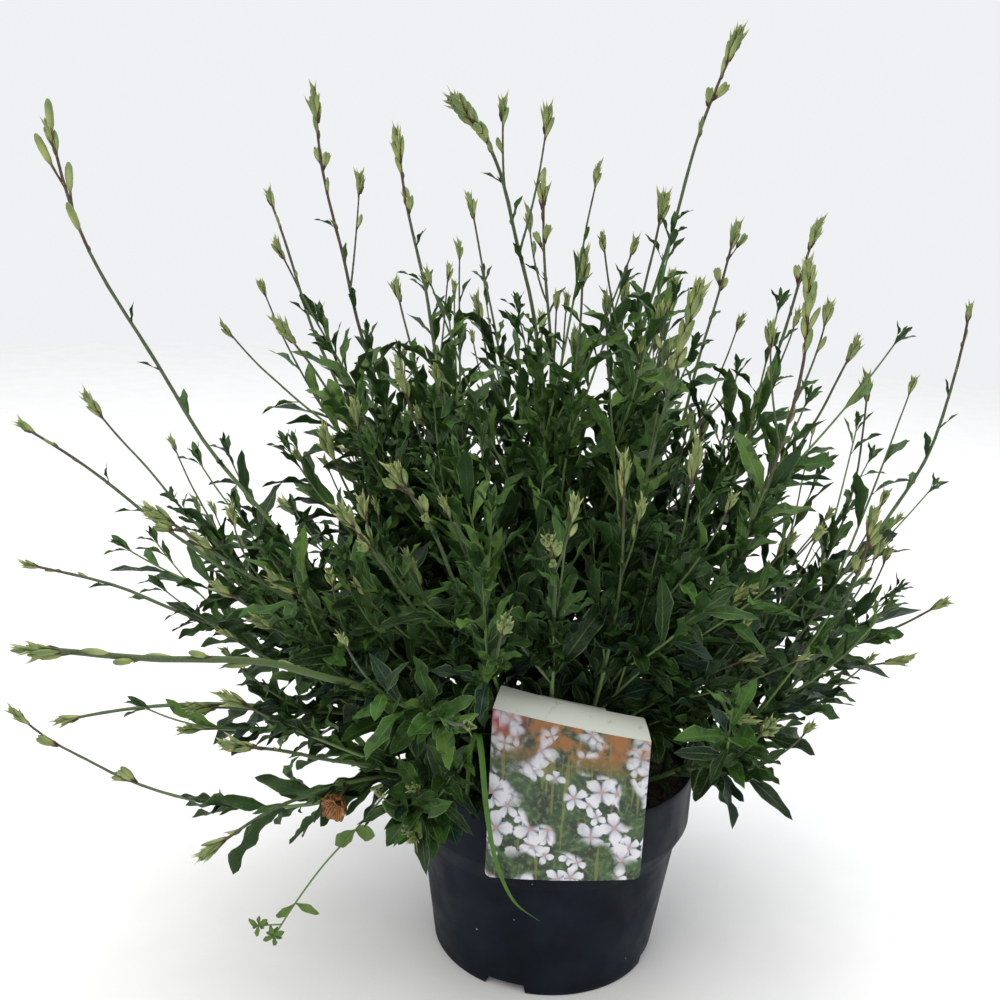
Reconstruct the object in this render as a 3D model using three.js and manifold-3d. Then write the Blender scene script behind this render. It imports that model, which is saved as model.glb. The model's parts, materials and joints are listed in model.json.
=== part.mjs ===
// Potted gaura: a branching perennial in bud, in a 19 cm nursery pot with a folded picture label.
// Millimetres, +Z up. The origin is the middle of the pot's underside, and the label faces -Y.
import * as THREE from "three";
import { mergeVertices } from "three/addons/utils/BufferGeometryUtils.js";
import Module from "manifold-3d";

const wasm = await Module();
wasm.setup();

// Pot
const POT_HEIGHT = 140;
const RIM_RADIUS = 96.5;
const COLLAR_FOOT = 101; // height at which the collar starts to narrow
const STEP_HEIGHT = 86; // height at which it has met the tapered wall
const STEP_RADIUS = 88.4;
const BASE_RADIUS = 76.5;
const POT_WALL = 1.6;
const FLOOR_TOP = 4.6;
const POT_SIDES = 30;
const DRAIN_HOLES = 6;
const DRAIN_RADIUS = 4.5;
const DRAIN_RING = 40;
const NOTCH_WIDTH = 28;
const NOTCH_HEIGHT = 7;
const NOTCH_DEPTH = 10;
const NOTCH_TURNS = [-110, -20, 70, 160];

// Soil
const GAP = 0.3; // kept between pieces that touch
const SOIL_TOP = 126;
const HOLE_FLOOR = 111.7;
const STEM_FOOT = 112;
const STEM_RISE = 128; // height at which a stem starts to lean

// Label
const LABEL_MIDDLE = 5.5;
const LABEL_WIDTH = 96;
const LABEL_FOOT = 100;
const LABEL_FOLD_LEFT = 212;
const LABEL_FOLD_RIGHT = 195;
const LABEL_THICK = 0.8;
const LABEL_FACE = -97.8; // y of its front at the middle
const LABEL_BOW = 0.0013; // how fast the sides fall back
// Rise and tilt from upright of each step over the picture.
const HEADER_BENDS = [
  [6, 12],
  [5, 38],
  [4, 66],
];
// The same from the header down to the tongue.
const TONGUE_BENDS = [
  [3, 66],
  [4, 108],
  [4, 150],
];
const TONGUE_WIDTH = 40;

// Room that shoots and leaves leave to the label with its header and tongue.
const LABEL_ROOM = { foot: 95, top: 228, front: -99, back: -76 };

// Stems
const STEPS = 24; // steps along every shoot
// Radius at each end, steps from joint to joint, and size of the leaves.
const MAIN = { foot: 1.7, tip: 0.8, stride: 4, leafSize: 1 };
const FORK = { foot: 1.15, tip: 0.65, stride: 6, leafSize: 0.86 };
const FORK_LEAFY = 18;
const SHOOT_SPACING = 5;
const GOLDEN_TURN = 137.5;
const LEAF_PITCH = 5.5;
const LEAF_SHARE = 9.9; // one leaf in so many of a full bush
const LEAF_CLIMB = 0.7; // below 1 crowds the picked leaves to the outside of the bush
const LEAF_START = 9;
const BUD = { length: 14, radius: 2.1 };
const TUFT_BUDS = 2;
const LOWER_BUDS = 1;

// A stem leaves its ring in the soil at its turn about the pot, and its lean from upright runs from
// foot to tip. It is leafy for the first so many of its steps, and a flower spike follows.
const STEMS = [
  { turn: -164, ring: 30, foot: 43, tip: 14, length: 490, bow: 2.5, leafy: 12 },
  { turn: -170, ring: 44, foot: 50, tip: 52, length: 370, leafy: 16 },
  { turn: -154, ring: 52, foot: 29, tip: 55, length: 290, bow: 0.5, leafy: 16 },
  { turn: 175, ring: 58, foot: 60, tip: 78, length: 330, leafy: 16 },
  { turn: -133, ring: 42, foot: 22, tip: 76, length: 370, bow: 0.4, leafy: 12 },
  { turn: -130, ring: 58, foot: 60, tip: 66, length: 235, leafy: 16 },
  { turn: -174, ring: 60, foot: 59, tip: 104, length: 270, bow: 0.9, leafy: 24 },
  { turn: -141, ring: 62, foot: 56, tip: 112, length: 200, leafy: 16 },
  { turn: -123, ring: 27, foot: 38, tip: 43, length: 295, bow: 0.8, leafy: 16 },
  { turn: 161, ring: 27, foot: 31, tip: 21, length: 415, bow: 2, leafy: 16 },
  { turn: 174, ring: 19, foot: 24, tip: 5, length: 455, bow: 3, leafy: 16 },
  { turn: -175, ring: 9, foot: 19, tip: 10, length: 420, leafy: 16 },
  { turn: -115, ring: 15, foot: 5, tip: 70, length: 475, bow: 3, leafy: 16 },
  { turn: -116, ring: 38, foot: 23, tip: 41, length: 305, bow: 0.5, leafy: 16 },
  { turn: -95, ring: 50, foot: 9, tip: 57, length: 285, bow: 0.8, leafy: 16 },
  { turn: -73, ring: 24, foot: 35, tip: -12, length: 250, bow: 1.5, leafy: 16 },
  { turn: -65, ring: 37, foot: 11, tip: 19, length: 345, leafy: 16 },
  { turn: -22, ring: 12, foot: 0, tip: 17, length: 475, leafy: 12 },
  { turn: -38, ring: 36, foot: 28, tip: -7, length: 370, bow: 2.5, leafy: 16 },
  { turn: 7, ring: 26, foot: 23, tip: 14, length: 385, leafy: 16 },
  { turn: 3, ring: 46, foot: 48, tip: -3, length: 390, bow: 2.2, leafy: 16 },
  { turn: -25, ring: 58, foot: 62, tip: 3, length: 255, leafy: 16 },
  { turn: 122, ring: 17, foot: 0, tip: 13, length: 385, bow: 1.8, leafy: 16 },
  { turn: 44, ring: 30, foot: 22, tip: 16, length: 380, leafy: 16 },
  { turn: 68, ring: 50, foot: 52, tip: 30, length: 300, leafy: 16 },
  { turn: 95, ring: 40, foot: 30, tip: 35, length: 330, leafy: 16 },
  { turn: 130, ring: 52, foot: 58, tip: 45, length: 310, leafy: 16 },
  { turn: 35, ring: 60, foot: 62, tip: 80, length: 265, leafy: 24 },
];

// Forks that leave a stem, by its number, at one of its steps.
const FORKS = [
  { stem: 0, at: 4, turn: -155, foot: 25, tip: 7, length: 200 },
  { stem: 1, at: 4, turn: 171, foot: 60, tip: 38, length: 300 },
  { stem: 7, at: 8, turn: 171, foot: 124, tip: 52, length: 275 },
  { stem: 16, at: 5, turn: -51, foot: 41, tip: 2, length: 190 },
  { stem: 18, at: 2, turn: -52, foot: 34, tip: 82, length: 125 },
  { stem: 20, at: 4, turn: 26, foot: 67, tip: -10, length: 270 },
  { stem: 21, at: 3, turn: 6, foot: 66, tip: 32, length: 150 },
  { stem: 22, at: 3, turn: 132, foot: 11, tip: 22, length: 335 },
  { stem: 23, at: 5, turn: 44, foot: -10, tip: 23, length: 260 },
  { stem: 24, at: 5, turn: 84, foot: 29, tip: -9, length: 285 },
  { stem: 25, at: 5, turn: 139, foot: 19, tip: 18, length: 250 },
];

const COLOURS = {
  pot: 0x2f363c,
  soil: 0x3b3028,
  label: 0xe8e4d6,
  grass: 0x72ad3a,
  weed: 0x86a55c,
  bloom: 0xa9622c,
  leaf: 0x41602f,
  spike: 0x9aa765,
};

const UP = new THREE.Vector3(0, 0, 1);
const radians = THREE.MathUtils.degToRad;
const vec = (x, y, z) => new THREE.Vector3(x, y, z);

// A draw between 0 and 1 that depends on its three whole numbers alone.
function chance(a, b, c) {
  const wave = Math.sin(a * 12.9898 + b * 78.233 + c * 37.719) * 43758.5453;
  return wave - Math.floor(wave);
}

// Closed solid from points and triangles, turned right side out.
function closed(points, faces) {
  let volume = 0;
  for (const [a, b, c] of faces) {
    volume += points[a].dot(points[b].clone().cross(points[c]));
  }
  const triangles = volume < 0 ? faces.map(([a, b, c]) => [a, c, b]) : faces;
  const mesh = new wasm.Mesh({
    numProp: 3,
    vertProperties: new Float32Array(points.flatMap((p) => [p.x, p.y, p.z])),
    triVerts: new Uint32Array(triangles.flat()),
  });
  return new wasm.Manifold(mesh);
}

// Closed solid from a three.js geometry.
function solidOf(geometry) {
  const bare = new THREE.BufferGeometry();
  bare.setAttribute("position", geometry.getAttribute("position"));
  bare.setIndex(geometry.getIndex());
  const merged = mergeVertices(bare, 1e-4);
  const position = merged.getAttribute("position");
  const index = merged.getIndex();
  const points = [];
  for (let i = 0; i < position.count; i += 1) {
    points.push(vec(position.getX(i), position.getY(i), position.getZ(i)));
  }
  const faces = [];
  for (let i = 0; i < index.count; i += 3) {
    const [a, b, c] = [index.getX(i), index.getX(i + 1), index.getX(i + 2)];
    if (a !== b && b !== c && c !== a) faces.push([a, b, c]);
  }
  return closed(points, faces);
}

// Closed skin over rings of points that follow one another. A ring of one point is a sharp end.
function skin(rings) {
  const points = rings.flat();
  const faces = [];
  let base = 0;
  for (let i = 0; i + 1 < rings.length; i += 1) {
    const [here, next] = [rings[i].length, rings[i + 1].length];
    for (let k = 0; k < Math.max(here, next); k += 1) {
      const a = base + (k % here);
      const b = base + ((k + 1) % here);
      const c = base + here + (k % next);
      const d = base + here + ((k + 1) % next);
      if (here > 1) faces.push([a, b, next > 1 ? d : c]);
      if (next > 1) faces.push([a, d, c]);
    }
    base += here;
  }
  const last = rings.at(-1).length;
  for (let k = 1; k + 1 < rings[0].length; k += 1) faces.push([0, k + 1, k]);
  for (let k = 1; k + 1 < last; k += 1) faces.push([base, base + k, base + k + 1]);
  return closed(points, faces);
}

// Turned solid from its outline of [radius, height] pairs, which starts and ends on the axis.
function turned(outline) {
  const lathe = new THREE.LatheGeometry(outline.map(([r, z]) => new THREE.Vector2(r, z)), POT_SIDES);
  lathe.rotateX(Math.PI / 2);
  return solidOf(lathe);
}

function block(width, depth, height, place, turn) {
  const box = new THREE.BoxGeometry(width, depth, height);
  box.translate(...place);
  box.rotateZ(radians(turn));
  return solidOf(box);
}

function meshOf(solid, name, colour) {
  const out = solid.getMesh();
  const geometry = new THREE.BufferGeometry();
  geometry.setAttribute("position", new THREE.Float32BufferAttribute(out.vertProperties, 3));
  geometry.setIndex([...out.triVerts]);
  const material = new THREE.MeshStandardMaterial({ color: colour, roughness: 0.7, flatShading: true });
  const mesh = new THREE.Mesh(geometry, material);
  mesh.name = name;
  return mesh;
}

// Inner radius of the pot at a height, brought in by a clearance.
const CAVITY = [
  [BASE_RADIUS - POT_WALL, FLOOR_TOP],
  [STEP_RADIUS - POT_WALL, STEP_HEIGHT + 0.5],
  [RIM_RADIUS - 1 - POT_WALL, COLLAR_FOOT + 0.5],
  [RIM_RADIUS - 1.9, POT_HEIGHT],
];

// Boxes at the four cut-outs of the base edge, grown by a margin.
function notches(margin) {
  const reach = 30;
  const inner = BASE_RADIUS - NOTCH_DEPTH - margin;
  const top = NOTCH_HEIGHT + margin;
  const boxes = NOTCH_TURNS.map((turn) =>
    block(reach, NOTCH_WIDTH + 2 * margin, top + 5, [inner + reach / 2, 0, (top - 5) / 2], turn),
  );
  return wasm.Manifold.union(boxes);
}

function potSolid() {
  const outside = turned([
    [0, 0],
    [14, 0],
    [16, 3],
    [57, 3],
    [60, 0],
    [BASE_RADIUS - 1.5, 0],
    [BASE_RADIUS, 1.5],
    [STEP_RADIUS, STEP_HEIGHT],
    [RIM_RADIUS - 0.7, COLLAR_FOOT],
    [RIM_RADIUS, POT_HEIGHT],
    [0, POT_HEIGHT],
  ]);
  const [wallTop, mouth] = [CAVITY.at(-1), POT_HEIGHT + 5];
  const inside = turned([[0, FLOOR_TOP], ...CAVITY, [wallTop[0] + 0.1, mouth], [0, mouth]]);
  const holes = [];
  for (let i = 0; i < DRAIN_HOLES; i += 1) {
    const hole = new THREE.CylinderGeometry(DRAIN_RADIUS, DRAIN_RADIUS, 12, 7);
    hole.rotateX(Math.PI / 2);
    hole.translate(DRAIN_RING, 0, 2);
    hole.rotateZ(((i + 0.5) / DRAIN_HOLES) * 2 * Math.PI);
    holes.push(solidOf(hole));
  }
  return outside
    .subtract(notches(0))
    .subtract(inside.subtract(notches(POT_WALL)))
    .subtract(wasm.Manifold.union(holes));
}

// Small rise and fall of the soil's surface.
function soilRelief(x, y) {
  const waves = 1.3 * Math.sin(x / 11 + 1) * Math.cos(y / 13) + 0.9 * Math.sin((x + 2 * y) / 17);
  return waves - 0.00025 * (x * x + y * y);
}

function soilSolid(feet) {
  const wall = CAVITY.slice(0, 3).map(([r, z]) => [r - GAP - 0.1, z]);
  wall[0][1] += GAP;
  const edge = wall[2][0] + 0.3;
  const rings = [edge, 66, 34, 0].map((r) => [r, SOIL_TOP]);
  const lathe = new THREE.LatheGeometry(
    [[0, FLOOR_TOP + GAP], ...wall, ...rings].map(([r, z]) => new THREE.Vector2(r, z)),
    POT_SIDES,
  );
  lathe.rotateX(Math.PI / 2);
  const position = lathe.getAttribute("position");
  for (let i = 0; i < position.count; i += 1) {
    if (position.getZ(i) < SOIL_TOP - 1) continue;
    position.setZ(i, SOIL_TOP + soilRelief(position.getX(i), position.getY(i)));
  }
  const deep = 30;
  const middle = HOLE_FLOOR + deep / 2;
  const holes = feet.map((foot) => {
    const low = foot.map((p) => vec(p.x, p.y, HOLE_FLOOR));
    return skin([low, low.map((p) => vec(p.x, p.y, HOLE_FLOOR + deep))]);
  });
  const bow = LABEL_BOW * (TONGUE_WIDTH / 2) ** 2;
  const slotThick = LABEL_THICK + bow + 2 * GAP;
  const slotY = tongueY + (bow - LABEL_THICK) / 2;
  const slot = block(TONGUE_WIDTH + 2 * GAP, slotThick, deep, [LABEL_MIDDLE, slotY, middle], 0);
  const cuts = wasm.Manifold.union([notches(POT_WALL + GAP + 0.1), ...holes, slot]);
  return solidOf(lathe).subtract(cuts);
}

// Sheet with a front of rows and columns of points and a back behind it, split alike on both faces.
function sheet(front, backs) {
  const [rows, columns] = [front.length, front[0].length];
  const points = [...front.flat(), ...backs.flat()];
  const shift = rows * columns;
  const at = (i, j) => i * columns + j;
  const faces = [];
  for (let i = 0; i + 1 < rows; i += 1) {
    for (let j = 0; j + 1 < columns; j += 1) {
      const [a, b, c, d] = [at(i, j), at(i, j + 1), at(i + 1, j + 1), at(i + 1, j)];
      faces.push([a, b, c], [a, c, d], [a + shift, c + shift, b + shift], [a + shift, d + shift, c + shift]);
    }
  }
  const rim = [];
  for (let j = 0; j + 1 < columns; j += 1) rim.push(at(0, j));
  for (let i = 0; i + 1 < rows; i += 1) rim.push(at(i, columns - 1));
  for (let j = columns - 1; j > 0; j -= 1) rim.push(at(rows - 1, j));
  for (let i = rows - 1; i > 0; i -= 1) rim.push(at(i, 0));
  rim.forEach((a, k) => {
    const b = rim[(k + 1) % rim.length];
    faces.push([b, a, a + shift], [b, a + shift, b + shift]);
  });
  return closed(points, faces);
}

// Bowed strip that goes on from its first row by one step after another, each at its tilt from upright.
function strip(firstRow, steps) {
  const fronts = [];
  const backs = [];
  let row = firstRow;
  let tilt = steps[0].tilt;
  for (const step of [{ rise: () => 0, tilt }, ...steps]) {
    const way = radians(step.tilt);
    row = row.map((p) => {
      const rise = step.rise(p);
      return vec(p.x, p.y + Math.sin(way) * rise, p.z + Math.cos(way) * rise);
    });
    const lie = radians((step.tilt + tilt) / 2);
    tilt = step.tilt;
    fronts.push(row);
    const inward = vec(0, Math.cos(lie), -Math.sin(lie)).multiplyScalar(LABEL_THICK);
    backs.push(row.map((p) => p.clone().add(inward)));
  }
  return sheet(fronts, backs);
}

const bowed = (x) => LABEL_FACE + LABEL_BOW * x * x;

// Height of the printed picture's top edge, which slants down to the right.
function foldHeight(x) {
  const middle = (LABEL_FOLD_LEFT + LABEL_FOLD_RIGHT) / 2;
  return middle + ((LABEL_FOLD_RIGHT - LABEL_FOLD_LEFT) / LABEL_WIDTH) * x;
}

const onward = (steps, part) => steps.reduce((sum, [rise, tilt]) => sum + rise * part(radians(tilt)), 0);
const asStep = ([rise, tilt]) => ({ rise: () => rise, tilt });
const tongueY = LABEL_FACE - 1.8 + onward([...HEADER_BENDS, ...TONGUE_BENDS], Math.sin);

function labelSolid() {
  const half = LABEL_WIDTH / 2;
  const foot = (x) => LABEL_FOOT + 0.035 * x + (Math.abs(x) === half ? 3 : 0);
  const halfWay = (p) => (foldHeight(p.x - LABEL_MIDDLE) - foot(p.x - LABEL_MIDDLE)) / 2;
  const lower = [-half, -half + 3, -half + 25, 0, half - 25, half - 3, half].map((x) =>
    vec(LABEL_MIDDLE + x, bowed(x), foot(x)),
  );
  const up = { rise: halfWay, tilt: 0 };
  const card = strip(lower, [up, up, ...HEADER_BENDS.map(asStep)]);
  const headerRise = onward(HEADER_BENDS, Math.cos);
  const upper = [-TONGUE_WIDTH / 2, 0, TONGUE_WIDTH / 2].map((x) =>
    vec(LABEL_MIDDLE + x, bowed(x) - 1.8 + onward(HEADER_BENDS, Math.sin), foldHeight(x) + headerRise - 1),
  );
  const down = { rise: (p) => p.z - STEM_FOOT, tilt: 180 };
  return card.add(strip(upper, [...TONGUE_BENDS.map(asStep), down]));
}

// Shoots
function makeShoot(start, spec, build, index) {
  const shoot = { ...spec, build, index, points: [start], ways: [] };
  const step = spec.length / STEPS;
  const turn = radians(spec.turn);
  for (let i = 0; i <= STEPS; i += 1) {
    const share = Math.min(1, (i + 0.5) / STEPS) ** (spec.bow ?? 1);
    const lean = radians(spec.foot + (spec.tip - spec.foot) * share);
    const way = vec(Math.sin(lean) * Math.cos(turn), Math.sin(lean) * Math.sin(turn), Math.cos(lean));
    shoot.ways.push(way);
    if (i < STEPS) shoot.points.push(shoot.points[i].clone().addScaledVector(way, step));
  }
  shoot.side = vec(-Math.sin(turn), Math.cos(turn), 0);
  return shoot;
}

const leanAt = (stem, i) => stem.foot + (stem.tip - stem.foot) * (i / STEPS) ** (stem.bow ?? 1);

// Least distance between two segments, by the middle of the nearest pair of their sampled points.
function segmentGap(a, b, c, d) {
  let least = Infinity;
  for (let i = 0; i <= 3; i += 1) {
    const p = a.clone().lerp(b, i / 3);
    const line = d.clone().sub(c);
    const t = THREE.MathUtils.clamp(p.clone().sub(c).dot(line) / line.lengthSq(), 0, 1);
    least = Math.min(least, p.distanceTo(c.clone().addScaledVector(line, t)));
  }
  return least;
}

function shootGap(one, other, from) {
  let least = Infinity;
  for (let i = from; i < STEPS; i += 1) {
    for (let j = 0; j < STEPS; j += 1) {
      if (one.points[i].distanceTo(other.points[j]) > 60) continue;
      const gap = segmentGap(one.points[i], one.points[i + 1], other.points[j], other.points[j + 1]);
      least = Math.min(least, gap);
    }
  }
  return least;
}

// Whether a point with some room about it lies in the pot's wall, the soil or the label.
function blocked(p, room) {
  const r = Math.hypot(p.x, p.y);
  const low = p.z < POT_HEIGHT + room && r < RIM_RADIUS + room;
  const inPot = low && (r > RIM_RADIUS - 3 - room || p.z < SOIL_TOP + room);
  const beside = Math.abs(p.x - LABEL_MIDDLE) < LABEL_WIDTH / 2 + room;
  const level = p.z < LABEL_ROOM.top + room && p.z > LABEL_ROOM.foot;
  const inLabel = beside && level && p.y < LABEL_ROOM.back + room && p.y > LABEL_ROOM.front - room;
  return inPot || inLabel;
}

// Main stems with their forks, each turned until it passes its neighbours.
function growShoots() {
  const mains = STEMS.map((stem, i) => {
    const turn = radians(stem.turn);
    return makeShoot(vec(stem.ring * Math.cos(turn), stem.ring * Math.sin(turn), STEM_RISE), stem, MAIN, i);
  });
  const all = [...mains];
  const families = mains.map((main) => [main]);
  const join = (shoot, owner) => {
    all.push(shoot);
    families[owner].push(shoot);
  };
  for (const fork of FORKS) {
    const start = mains[fork.stem].points[fork.at].clone();
    join(makeShoot(start, { ...fork, leafy: FORK_LEAFY }, FORK, all.length), fork.stem);
  }
  mains.forEach((main, owner) => {
    const sprays = families[owner].length > 1 ? 1 : 2;
    for (let k = 0; k < sprays; k += 1) {
      const at = 4 + 3 * k + (owner % 3);
      for (let draw = 1; draw <= 12; draw += 1) {
        const pick = (c) => chance(owner + 1, 10 * k + draw, c);
        const side = (owner + k + draw) % 2 === 0 ? 1 : -1;
        const foot = Math.min(76, leanAt(main, at) + 6 + 20 * pick(2));
        const spec = {
          at,
          turn: main.turn + side * (26 + 34 * pick(1)),
          foot,
          tip: foot - 24 + 38 * pick(3),
          length: Math.min(main.length * (0.4 + 0.2 * pick(4)), 210),
          leafy: FORK_LEAFY,
        };
        const shoot = makeShoot(main.points[at].clone(), spec, FORK, all.length);
        const clear = all.every((other) => {
          if (other === main) return shootGap(shoot, main, 3) > MAIN.foot + 0.5;
          return shootGap(shoot, other, 0) > SHOOT_SPACING;
        });
        const open = shoot.points.slice(1).every((p) => !blocked(p, 3));
        if (clear && open) {
          join(shoot, owner);
          break;
        }
      }
    }
  });
  return { all, families };
}

const radiusAt = (shoot, i) => shoot.build.foot + (shoot.build.tip - shoot.build.foot) * (i / STEPS);

// Place, direction and frame inside a shoot's tube at a distance from its start.
function along(shoot, distance) {
  const exact = (distance / shoot.length) * STEPS;
  const i = Math.min(STEPS - 1, Math.floor(exact));
  const { stride } = shoot.build;
  const from = Math.min(STEPS - stride, stride * Math.floor(exact / stride));
  const point = shoot.points[from].clone().lerp(shoot.points[from + stride], (exact - from) / stride);
  const way = shoot.ways[i];
  return { point, way, side: shoot.side, across: shoot.side.clone().cross(way) };
}

function ring(centre, side, across, radius, sides) {
  const points = [];
  for (let k = 0; k < sides; k += 1) {
    const a = (2 * Math.PI * k) / sides;
    const point = centre.clone().addScaledVector(side, radius * Math.cos(a));
    points.push(point.addScaledVector(across, radius * Math.sin(a)));
  }
  return points;
}

// Long bud with its widest part nearer the root.
function budRings(root, way, side, length, radius) {
  const middle = root.clone().addScaledVector(way, 0.4 * length);
  const tip = root.clone().addScaledVector(way, length);
  return [[root], ring(middle, side, side.clone().cross(way), radius, 3), [tip]];
}

// Three-sided tube over a stretch of a shoot. At the shoot's tip it swells into a bud.
function shootTube(shoot, from, to, lift = 0) {
  const rings = [];
  for (let i = from; i <= to; i += shoot.build.stride) {
    const way = shoot.ways[i].clone().add(shoot.ways[Math.max(0, i - 1)]).normalize();
    const centre = shoot.points[i].clone().addScaledVector(way, i === from ? lift : 0);
    rings.push(ring(centre, shoot.side, shoot.side.clone().cross(way), radiusAt(shoot, i), 3));
  }
  if (to === STEPS) {
    const bud = budRings(shoot.points[STEPS], shoot.ways[STEPS], shoot.side, BUD.length, BUD.radius);
    rings.push(...bud.slice(1));
  }
  return rings;
}

function stemSolid(main) {
  const across = main.side.clone().cross(UP);
  const foot = vec(main.points[0].x, main.points[0].y, STEM_FOOT);
  const body = shootTube(main, 0, main.leafy);
  body[0] = ring(main.points[0], main.side, across, MAIN.foot, 3);
  return skin([ring(foot, main.side, across, MAIN.foot, 3), ...body]);
}

// Buds of a spike: a tuft about the one at its tip, and more below it alternately.
function spikeBuds(shoot) {
  const buds = [];
  for (let k = 1; k <= TUFT_BUDS + LOWER_BUDS; k += 1) {
    const inTuft = k <= TUFT_BUDS;
    const back = inTuft ? 4 * k - 1 : 24 + 21 * (k - TUFT_BUDS - 1);
    const { point, way, side, across } = along(shoot, shoot.length - back);
    const angle = radians(GOLDEN_TURN * k + 40 * shoot.index);
    const round = side.clone().multiplyScalar(Math.cos(angle)).addScaledVector(across, Math.sin(angle));
    const spread = 0.16 + 0.12 * chance(shoot.index + 1, k, 21);
    const aim = way.clone().addScaledVector(round, spread).normalize();
    const flat = aim.clone().cross(round).normalize();
    const length = (inTuft ? 13 : 9) + 4 * chance(shoot.index + 1, k, 22);
    buds.push(skin(budRings(point, aim, flat, length, inTuft ? BUD.radius : 0.8 * BUD.radius)));
  }
  return buds;
}

// Leaf: where it is rooted, which way it goes and which way its face looks.
function leafSpec(shoot, k, count, reach) {
  const pick = (c) => chance(shoot.index + 1, k + 1, c);
  const distance = LEAF_START + ((k + 0.3 + 0.4 * pick(1)) / count) * reach;
  const u = (k + 0.5) / count;
  const { point, way, side, across } = along(shoot, distance);
  const angle = radians(GOLDEN_TURN * k + 50 * shoot.index);
  const round = side.clone().multiplyScalar(Math.cos(angle)).addScaledVector(across, Math.sin(angle));
  const open = radians(46 - 18 * u + 26 * (pick(2) - 0.5));
  const aim = way.clone().multiplyScalar(Math.cos(open)).addScaledVector(round, Math.sin(open));
  const face = way.clone().addScaledVector(UP, 0.4);
  face.addScaledVector(aim, -face.dot(aim)).normalize();
  const usual = 16 + 36 * Math.sin(Math.PI * (0.2 + 0.78 * u));
  const length = shoot.build.leafSize * usual * (0.7 + 0.55 * pick(3));
  const width = length * (0.2 + 0.09 * pick(4));
  return { point, aim, face, length, width, curl: 0.15 + 0.85 * pick(5) };
}

// Waved outline: how far along each station is and how much of the half width each edge has there.
const LEAF_STATIONS = [
  { along: 0, left: 0, right: 0 },
  { along: 0, left: 0, right: 0 },
  { along: 0.36, left: 1, right: 0.7 },
  { along: 0.68, left: 0.5, right: 0.9 },
  { along: 1, left: 0, right: 0 },
];
const PETIOLE = { along: 2.2, half: 0.8 }; // millimetres from the stem's middle, and half its width
const KEEL = 1.1;

// Stations along a drooping leaf: middle line and face direction at each.
function leafLine(leaf) {
  const line = [];
  const point = leaf.point.clone();
  let before = 0;
  for (const station of LEAF_STATIONS) {
    const s = line.length === 1 ? PETIOLE.along / leaf.length : station.along;
    const bend = leaf.curl * (s + before) * 0.5;
    const way = leaf.aim.clone().multiplyScalar(Math.cos(bend)).addScaledVector(leaf.face, -Math.sin(bend));
    point.addScaledVector(way, (s - before) * leaf.length);
    const tilt = leaf.curl * s;
    const face = leaf.face.clone().multiplyScalar(Math.cos(tilt)).addScaledVector(leaf.aim, Math.sin(tilt));
    line.push({ point: point.clone(), face });
    before = s;
  }
  return line;
}

// Waved blade of three-sided section: two edges and a keel below the midrib.
function leafSolid(leaf, line, fat = 0) {
  const side = leaf.aim.clone().cross(leaf.face).normalize();
  const half = leaf.width / 2;
  const section = ({ point, face }, left, right, keel, cup) => [
    point.clone().addScaledVector(side, -left - fat).addScaledVector(face, cup + fat),
    point.clone().addScaledVector(side, right + fat).addScaledVector(face, cup + fat),
    point.clone().addScaledVector(face, -keel - fat),
  ];
  const blade = [2, 3].map((i) => {
    const { left, right } = LEAF_STATIONS[i];
    return section(line[i], half * left, half * right, KEEL, 0.16 * half);
  });
  const petiole = section(line[1], PETIOLE.half, PETIOLE.half, 0.7, 0.15);
  return skin([[line[0].point], petiole, ...blade, [line[4].point]]);
}

function boxesMeet(a, b) {
  return [0, 1, 2].every((i) => a.min[i] < b.max[i] && b.min[i] < a.max[i]);
}

// Everything placed so far, so that a new leaf can be kept out of it.
class Crowd {
  constructor() {
    this.pieces = [];
  }

  add(solid, shoot) {
    this.pieces.push({ solid, shoot, box: solid.boundingBox() });
  }

  isFree(solid, shoot) {
    const box = solid.boundingBox();
    return this.pieces.every((piece) => {
      if (piece.shoot !== undefined && piece.shoot === shoot) return true;
      if (!boxesMeet(piece.box, box)) return true;
      return piece.solid.intersect(solid).isEmpty();
    });
  }
}

// Leaves of one shoot, picked evenly from the full spiral and kept clear of everything placed.
function shootLeaves(shoot, crowd, share) {
  const reach = (shoot.leafy / STEPS) * shoot.length - LEAF_START - 4;
  const count = Math.round(reach / LEAF_PITCH);
  const wanted = Math.max(2, Math.round(count / share));
  const leaves = [];
  const used = new Set();
  for (let w = 0; w < wanted; w += 1) {
    const centre = Math.floor(count * ((w + 0.6) / wanted) ** LEAF_CLIMB);
    for (const shift of [0, 1, -1, 2, -2, 3, -3, 4, -4]) {
      const k = Math.min(count - 1, Math.max(0, centre + shift));
      if (used.has(k)) continue;
      used.add(k);
      const leaf = leafSpec(shoot, k, count, reach);
      const line = leafLine(leaf);
      if (line.slice(1).some(({ point }) => blocked(point, 2.5))) continue;
      if (!crowd.isFree(leafSolid(leaf, line, 0.4), shoot)) continue;
      const solid = leafSolid(leaf, line);
      crowd.add(solid);
      leaves.push(solid);
      break;
    }
  }
  return leaves;
}

// Grass blade that stands in the soil left of the label and hangs down over it.
const GRASS = [
  { x: -56, y: -70, z: STEM_FOOT, half: 1.2 },
  { x: -56, y: -70, z: STEM_RISE, half: 1.2 },
  { x: -55, y: -84, z: 176, half: 2 },
  { x: -51, y: -97, z: 196, half: 2.2 },
  { x: -48, y: -105, z: 188, half: 2.4 },
  { x: -43, y: -107, z: 150, half: 2.3 },
  { x: -36, y: -105, z: 116, half: 1.9 },
  { x: -24, y: -100, z: 86, half: 1.3 },
  { x: -7, y: -97, z: 70, half: 0 },
];
const GRASS_THICK = 0.9;

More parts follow.
